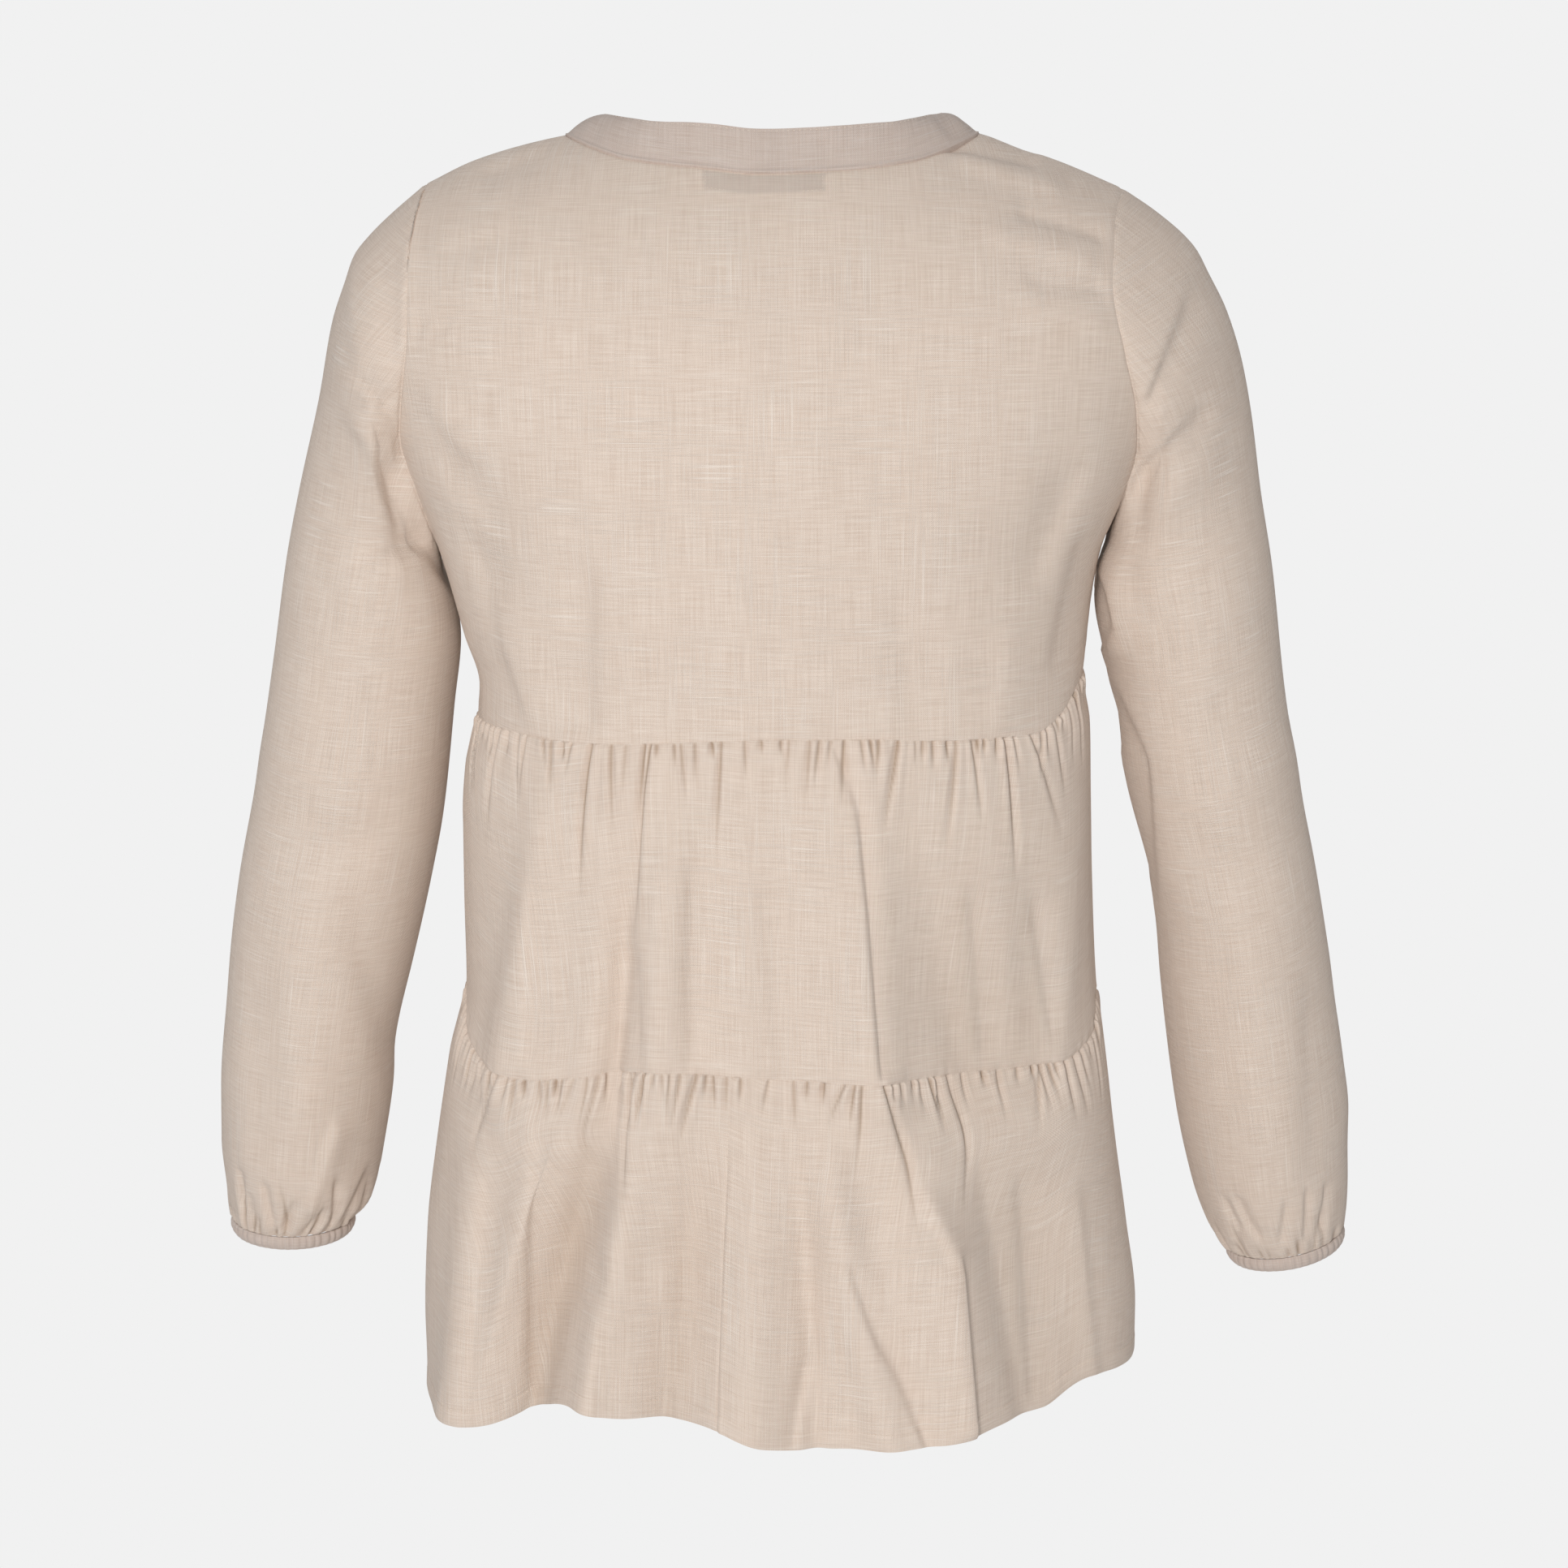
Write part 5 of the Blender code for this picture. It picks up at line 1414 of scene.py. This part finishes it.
sleeveDepth = columns(
    "down half forward tilt",
    (0.00, 0.0500, 0.004, 0.00),
    (0.12, 0.0500, 0.010, 0.00),
    (0.25, 0.0530, 0.018, 0.00),
    (0.45, 0.0550, 0.022, 0.02),
    (0.65, 0.0540, 0.028, 0.08),
    (0.85, 0.0540, 0.037, 0.12),
    (0.94, 0.0470, 0.042, 0.15),
    (1.00, 0.0345, 0.046, 0.17),
)
sleeveCreases = {
    -1: columns(
        creaseColumns,
        (-226, -128, -209, -147, 4.0, -1.8, 0.6),  # drawn in at the underarm
        (-232, -150, -206, -176, 6.0, 1.5, 0.4),
        (-226, -229, -192, -219, 6.0, -2.6, 0.7),
        (-240, -250, -198, -236, 9.0, 1.6, 0.4),
        (-214, -60, -206, -120, 8.0, -1.2, 0.5),
        (-252, -300, -212, -330, 12.0, -1.6, 0.5),  # soft bends at the elbow
        (-280, -340, -230, -372, 12.0, 1.5, 0.5),
        (-262, -398, -216, -380, 10.0, -1.5, 0.5),
        (-236, -420, -214, -520, 11.0, -1.6, 0.5),
        (-270, -430, -262, -548, 14.0, 1.8, 0.4),
        (-292, -470, -290, -570, 10.0, -1.4, 0.4),
        (-304, -578, -304, -595, 1.6, -1.6, 0.6),  # gathers that show above the cuff
        (-297.7, -592, -298.8, -603, 1.5, -1.3, 0.6),
        (-290, -584, -286, -609, 1.9, -1.9, 0.7),
        (-272, -594, -280, -612, 1.9, -1.8, 0.7),
        (-247, -548, -264, -600, 4.0, 2.0, 0.6),
        (-249, -582, -252, -610, 1.9, -1.7, 0.6),
        (-232, -580, -247, -610, 2.0, -1.9, 0.7),
        (-257, -600, -268, -614, 1.6, -1.3, 0.5),
    ),
    1: columns(
        creaseColumns,
        (223, -88, 208, -121, 4.5, -1.6, 0.6),
        (208, -121, 198, -144, 4.0, -2.0, 0.6),
        (231, -147, 206, -170, 4.0, -1.6, 0.7),
        (206, -170, 187, -191, 4.0, -2.0, 0.7),
        (236, -170, 200, -204, 8.0, 1.4, 0.4),
        (175, -226, 183, -250, 3.5, 2.2, 0.9),  # the fold that hangs beside the body
        (183, -250, 186.5, -266, 3.5, 2.4, 0.9),
        (186.5, -266, 183, -284, 3.5, 2.0, 0.9),
        (183, -305, 197, -334, 3.4, -2.2, -0.8),  # elbow fold
        (197, -334, 200.5, -343, 3.4, -2.2, -0.8),
        (200.5, -343, 208, -427, 4.0, -2.0, -0.8),
        (256, -300, 216, -326, 12.0, -1.5, 0.5),
        (282, -336, 232, -366, 12.0, 1.5, 0.5),
        (270, -404, 226, -382, 10.0, -1.4, 0.5),
        (262, -440, 268, -556, 14.0, 1.8, 0.4),
        (296, -470, 300, -580, 10.0, -1.4, 0.4),
        (256, -592, 265, -610, 1.9, -1.9, 0.7),
        (265, -610, 271.5, -617, 1.7, -1.6, 0.7),
        (249.5, -594, 260, -613, 1.7, -1.5, 0.6),
        (284, -594, 282, -618, 1.8, -1.4, 0.6),
        (296, -588, 296, -616, 1.8, -1.5, 0.6),
        (308, -586, 305, -612, 1.8, -1.4, 0.6),
    ),
}


def outlinePoint(side, edge, share):
    rows = sleeveOutline[side, edge]
    heights = np.linspace(rows["height"][-1], rows["height"][0], 400)
    across = side * readSmoothly(rows, "height", "across", heights)
    lengths = np.concatenate([[0], np.cumsum(np.hypot(np.diff(across), np.diff(heights)))])
    return [np.interp(share * lengths[-1], lengths, values) for values in (across, heights)]


def sleeveFrame(side, share):
    # centre of a section, and its half-axes towards the outer edge and the front
    crowding = share ** sleeve["innerCrowding"]
    crowding += sleeve["innerStart"] * share * (1 - share) ** sleeve["innerStartPower"]
    outer, inner = outlinePoint(side, "outer", share), outlinePoint(side, "inner", crowding)
    half, forward, tilt = (
        float(readSmoothly(sleeveDepth, "down", name, share)) for name in ("half", "forward", "tilt"))
    centre = np.array([(outer[0] + inner[0]) / 2, forward, (outer[1] + inner[1]) / 2])
    reach = np.array([(outer[0] - inner[0]) / 2, 0, (outer[1] - inner[1]) / 2])
    return centre, reach, half * np.array([0, math.cos(tilt), math.sin(tilt)])


def sleeveRing(side, share, count):
    # one section, from the -x side round by the back
    centre, reach, across = sleeveFrame(side, share)
    angles = np.linspace(0, 2 * math.pi, count, endpoint=False)
    return centre + np.outer(-side * np.cos(angles), reach) + np.outer(-np.sin(angles), across)


def armholeLoop(side, back, front):
    # the edge of the armhole, from the -x side round by the back; the front's columns run from +x
    backEdge = back[: bodice["armholeRows"] + 1, 0 if side < 0 else -1]
    frontEdge = front[: bodice["armholeRows"] + 1, -1 if side < 0 else 0]
    if side < 0:
        loop = np.concatenate([backEdge, frontEdge[-2:0:-1]])
    else:
        loop = np.concatenate([backEdge[::-1], frontEdge[1:-1]])
    halfway = (loop + np.roll(loop, -1, axis=0)) / 2  # twice as many points, on the same line
    return np.stack([loop, halfway], axis=1).reshape(-1, 3)


def sleeveGrid(side):
    loop = armholeLoop(side, backPlain, frontPlain)
    rest = loop - sleeveRing(side, 0.0, len(loop))
    even = np.linspace(0, 1, sleeve["rings"] + 1)
    even = np.insert(even, [1, sleeve["rings"]], [sleeve["firstRing"], sleeve["lastRing"]])
    shares = even - sleeve["ringCrowding"] * np.sin(2 * math.pi * even) / (2 * math.pi)
    return np.array([
        sleeveRing(side, s, len(loop)) + rest * (1 - smoothStep(s / sleeve["armholeFade"])) for s in shares])


def drawnRound(length, near, seed, kind):
    # gathers all round an edge of the sleeve, where so much cloth is drawn up
    made = randomGathers(seed, sleeve["margin"], length - sleeve["margin"], *kind)
    run = np.linspace(0, 1, near.shape[1], endpoint=False) * length
    return hangingGathers(made, np.broadcast_to(run, near.shape), near)


def dressedSleeve(side, grid, seed):
    near = edgeDistances(grid, closed=True)
    normals = gridNormals(grid, closed=True)
    backward = smoothStep(0.5 - normals[..., 1] * sleeve["facing"])
    onBack = placedCreases(sleeveCreases[side], grid) * backward
    mirrored = dict(sleeveCreases[side])
    for key, shift in sleeve["frontShift"].items():
        mirrored[key] = mirrored[key] + (side * shift if key in ("x1", "x2") else shift)
    onFront = placedCreases(mirrored, grid) * (1 - backward) * sleeve["frontFolds"]
    relief = finishEdges(near, ("top", "bottom"))
    relief = relief + (onBack + onFront) * smoothStep(near["top"] / sleeve["creaseCalm"])
    # the cuff's gathers, each with a painted shade line
    drawn, hollow = drawnRound(sleeve["endLength"], near["bottom"], seed, sleeve["cuffGathers"])
    relief = relief + drawn
    fading = 1 - smoothStep(near["bottom"] / sleeve["swellEnd"])
    relief = relief + sleeve["swell"] * (1 - np.exp(-near["bottom"] / sleeve["swellReach"])) * fading
    relief = relief + drawnRound(sleeve["headLength"], near["top"], seed + 3, sleeve["headEase"])[0]
    outer = grid + normals * relief[..., None]
    outer[0] = armholeLoop(side, backOuter, frontOuter)
    return outer, hollow


sleeveOuters, sleevePieces = {}, {}
for side, name in ((-1, "sleeveLeft"), (1, "sleeveRight")):
    plain = sleeveGrid(side)
    sleeveOuters[side], hollow = dressedSleeve(side, plain, 40 + side)
    sleevePieces[side] = clothPiece(
        name, sleeveOuters[side], clothGrain(plain, closed=True), closed=True, marks={"hollow": hollow})
print("sleeves made")


# cuffs: an elastic channel whose ribs are raised by Geometry Nodes

cuff = {
    "height": 0.0080,
    "taper": 0.0012,
    "bulge": 0.0009,
    "inset": 0.0006,
    "gap": 0.00008,
    "thickness": 0.0016,
    "columns": 336,
    "rows": 12,
    "ribs": 46.0,
    "ribHeight": 0.0012,
    "unevenness": 0.45,
    "unevenScale": 4.0,
    "ribSway": 0.07,  # how far the ribs stray to the side
    "ribFullness": 0.7,  # below 1 the ribs are full, with narrow grooves
    "evenHeight": 0.9,
    "ribsAtEdge": 0.35,  # share of the ribs' height at both edges of the cuff
    "ribsInside": 0.6,
}


def ribTree():
    # moves each point out by a row of rounded ribs, each a little different in height and width
    tree, given = startTree("elasticRibs", "cuff", ("ribs", "ribHeight", "unevenness"))
    around, raised, outward = (
        node(tree, "GeometryNodeInputNamedAttribute", {"Name": name}, data_type=kind).outputs[0]
        for name, kind in (("around", "FLOAT"), ("raised", "FLOAT"), ("outward", "FLOAT_VECTOR")))
    turn = maths(tree, "MULTIPLY", around, 2 * math.pi)
    circle = node(tree, "ShaderNodeCombineXYZ", {0: maths(tree, "COSINE", turn), 1: maths(tree, "SINE", turn)})
    noise = node(tree, "ShaderNodeTexNoise", noise_dimensions="4D", given={
        "Vector": circle.outputs[0], "W": given["seed"], "Scale": cuff["unevenScale"], "Detail": 2.0})
    sway = maths(tree, "MULTIPLY", maths(tree, "SUBTRACT", noise.outputs[0], 0.5), given["unevenness"])
    shifted = maths(tree, "ADD", around, maths(tree, "MULTIPLY", sway, cuff["ribSway"]))
    phase = maths(tree, "MULTIPLY", maths(tree, "MULTIPLY", shifted, given["ribs"]), math.pi)
    rounded = maths(tree, "POWER", maths(tree, "ABSOLUTE", maths(tree, "SINE", phase)), cuff["ribFullness"])
    sized = maths(tree, "MULTIPLY", rounded, maths(tree, "ADD", sway, cuff["evenHeight"]))
    high = maths(tree, "MULTIPLY", maths(tree, "MULTIPLY", sized, given["ribHeight"]), raised)
    push = node(tree, "ShaderNodeVectorMath", {0: outward, "Scale": high}, operation="SCALE")
    moved = node(tree, "GeometryNodeSetPosition", {"Geometry": given["cuff"], "Offset": push.outputs[0]})
    return endTree(tree, moved.outputs[0], slubCottonDoubled)


elasticRibs = ribTree()


def makeCuff(side, name, seed):
    centre, reach, across = sleeveFrame(side, 1.0)
    axis = unit(np.cross(reach, across))
    axis = axis if axis[2] < 0 else -axis
    base = sleeveRing(side, 1.0, cuff["columns"])
    outward = unit(base - centre)
    rings, swell = [], []
    for down in (1 - np.cos(np.linspace(0, math.pi, cuff["rows"]))) / 2:
        size = math.sin(math.pi * down) * cuff["bulge"] - cuff["taper"] * down - cuff["inset"]
        rings.append(base + outward * size + axis * (cuff["height"] * down + cuff["gap"]))
        middle = math.sin(math.pi * down) ** 0.5 if 0 < down < 1 else 0
        swell.append(np.full(cuff["columns"], between((cuff["ribsAtEdge"], 1), middle)))
    grid, swell = np.array(rings), np.array(swell)
    source = makeShell(name + "Plain", grid, clothGrain(grid, closed=True), slubCottonDoubled, closed=True,
                       thickness=cuff["thickness"])
    around = np.broadcast_to(np.linspace(0, 1, cuff["columns"], endpoint=False), swell.shape).ravel()
    setMark(source.data, "around", np.tile(around, 2))
    setMark(source.data, "raised", np.concatenate([swell.ravel(), swell.ravel() * cuff["ribsInside"]]))
    setMark(source.data, "outward", np.tile(outward, (cuff["rows"] * 2, 1)), "FLOAT_VECTOR", "vector")
    return claim(appliedNodes(name, source, elasticRibs, {**cuff, "seed": seed}))


cuffLeft, cuffRight = makeCuff(-1, "cuffLeft", 5), makeCuff(1, "cuffRight", 8)
print("cuffs made")


# label: a plain tape inside the back neck, with its stitches coming through to the outside


def backLine(across, depth, proud):
    # points of the back bodice so far below the neck seam, at places across in metres
    line = pathOn(backOuter, rowsAtDistance(backPlain, depth), proud=proud)
    return np.stack([np.interp(across, line[:, 0], line[:, axis]) for axis in range(3)], axis=-1)


def makeLabel():
    across = np.linspace(label["left"], label["right"], label["columns"])
    inside = -(cloth["thickness"] + label["gap"])
    depths = np.linspace(label["top"], label["bottom"], label["rows"])
    grid = np.array([backLine(across, depth, inside) for depth in depths])
    piece = makeShell("neckLabel", grid, clothGrain(grid), labelTape, thickness=label["thickness"])
    return claim(piece)


def labelPaths():
    left, right, low = (
        label[edge] + way * label["stitchInset"] for edge, way in (("left", 1), ("right", -1), ("bottom", -1)))
    depths, proud = np.linspace(label["stitchTop"], low, 12), label["stitchProud"]
    sides = [np.array([backLine(end, depth, proud) for depth in depths]) for end in (left, right)]
    tacks = [np.linspace(left + label["tackFrom"], left + label["tackTo"], 6),
             np.linspace(right - label["tackTo"], right - label["tackFrom"], 6)]
    return sides + [backLine(places, low, proud) for places in tacks]


neckLabel = makeLabel()
labelStitches = sew("labelStitches", labelPaths(), 3, stitchLength=0.0016, pitch=0.0022)

# the other stitch lines

stitchLines = {"hem": hem["turning"], "armhole": 0.0011, "cuff": 0.0012}  # how far each lies from its edge


def sewAlong(name, grids, distance, seed, fromBottom=False, closed=False, proud=0.00012, **changes):
    paths = [pathOn(grid, rowsAtDistance(grid, distance, fromBottom), closed, proud) for grid in grids]
    return sew(name, paths, seed, **changes)


bandStitches = sewAlong("neckbandStitches", (bandBackOuter, bandFrontOuter), neckband["stitchFromEdge"], 4)
hemStitches = sewAlong("hemStitches", (lowerBackOuter, lowerFrontOuter), stitchLines["hem"], 6, fromBottom=True)
armholeStitches = sewAlong(
    "armholeStitches", sleeveOuters.values(), stitchLines["armhole"], 7, closed=True, proud=0.00005,
    stitchLength=0.0015, pitch=0.0024, thickness=0.00020)
cuffStitches = sewAlong(
    "cuffStitches", sleeveOuters.values(), stitchLines["cuff"], 9, fromBottom=True, closed=True, proud=0.0001,
    pitch=0.0027)
print("sewing made")
# studio: pale floor and backdrop, soft light, and the photograph's camera

studio = {
    "backdrop": "#F1F1F1",
    "floor": "#EDEDED",
    "floorHeight": -1.42,
    "floorRadius": 1.85,
    "floorSides": 96,
    "fill": 0.45,
    "aim": (0.0, 0.0, -0.34),
    "lights": {"keyLeft": ((-0.44, -2.88, 0.24), 0.7, 49.0), "backFill": ((0.4, 2.6, 0.7), 1.8, 16.0)},
    "camera": (0.0027, -2.6, 0.0),
    "cameraTilt": 7.8186,  # degrees down
    "lens": 108.67,
}


def makeFloor():
    count, radius = studio["floorSides"], studio["floorRadius"]
    turns = [2 * math.pi * i / count for i in range(count)]
    mesh = bpy.data.meshes.new("floor")
    mesh.from_pydata(
        [(radius * math.cos(turn), radius * math.sin(turn), studio["floorHeight"]) for turn in turns], [],
        [list(range(count))])
    looks = {"Base Color": linear(studio["floor"]), "Roughness": 0.9}
    mesh.materials.append(emptyMaterial("paleMattFloor", looks)[0])
    addObject("floor", mesh)


def makeLight(name, place, size, power):
    data = bpy.data.lights.new(name, "AREA")
    data.shape, data.size, data.energy = "DISK", size, power
    light = addObject(name, data)
    light.location = place
    away = np.array(place) - np.array(studio["aim"])
    pitch = math.atan2(away[2], math.hypot(away[0], away[1]))
    light.rotation_euler = (math.radians(90) - pitch, 0, math.atan2(away[0], -away[1]))


def makeWorld():
    # an even pale backdrop for the camera, and a slightly dimmer even light on the cloth
    world = bpy.data.worlds.new("paleStudio")
    world.use_nodes = True
    tree = world.node_tree
    tree.nodes.clear()
    light = node(tree, "ShaderNodeBackground", {0: linear("#FFFFFF"), 1: studio["fill"]})
    seen = node(tree, "ShaderNodeBackground", {0: linear(studio["backdrop"]), 1: 1.0})
    ray = node(tree, "ShaderNodeLightPath").outputs["Is Camera Ray"]
    mix = node(tree, "ShaderNodeMixShader", {0: ray, 1: light.outputs[0], 2: seen.outputs[0]})
    node(tree, "ShaderNodeOutputWorld", {0: mix.outputs[0]})
    bpy.context.scene.world = world


makeFloor()
makeWorld()
for name, settings in studio["lights"].items():
    makeLight(name, *settings)

cameraData = bpy.data.cameras.new("camera")
cameraData.lens, cameraData.sensor_width, cameraData.clip_end = studio["lens"], 36, 50
camera = addObject("camera", cameraData)
camera.location = studio["camera"]
camera.rotation_euler = (math.radians(90 - studio["cameraTilt"]), 0, 0)
bpy.context.scene.camera = camera
bpy.context.scene.view_settings.view_transform = "Standard"

print("studio made")
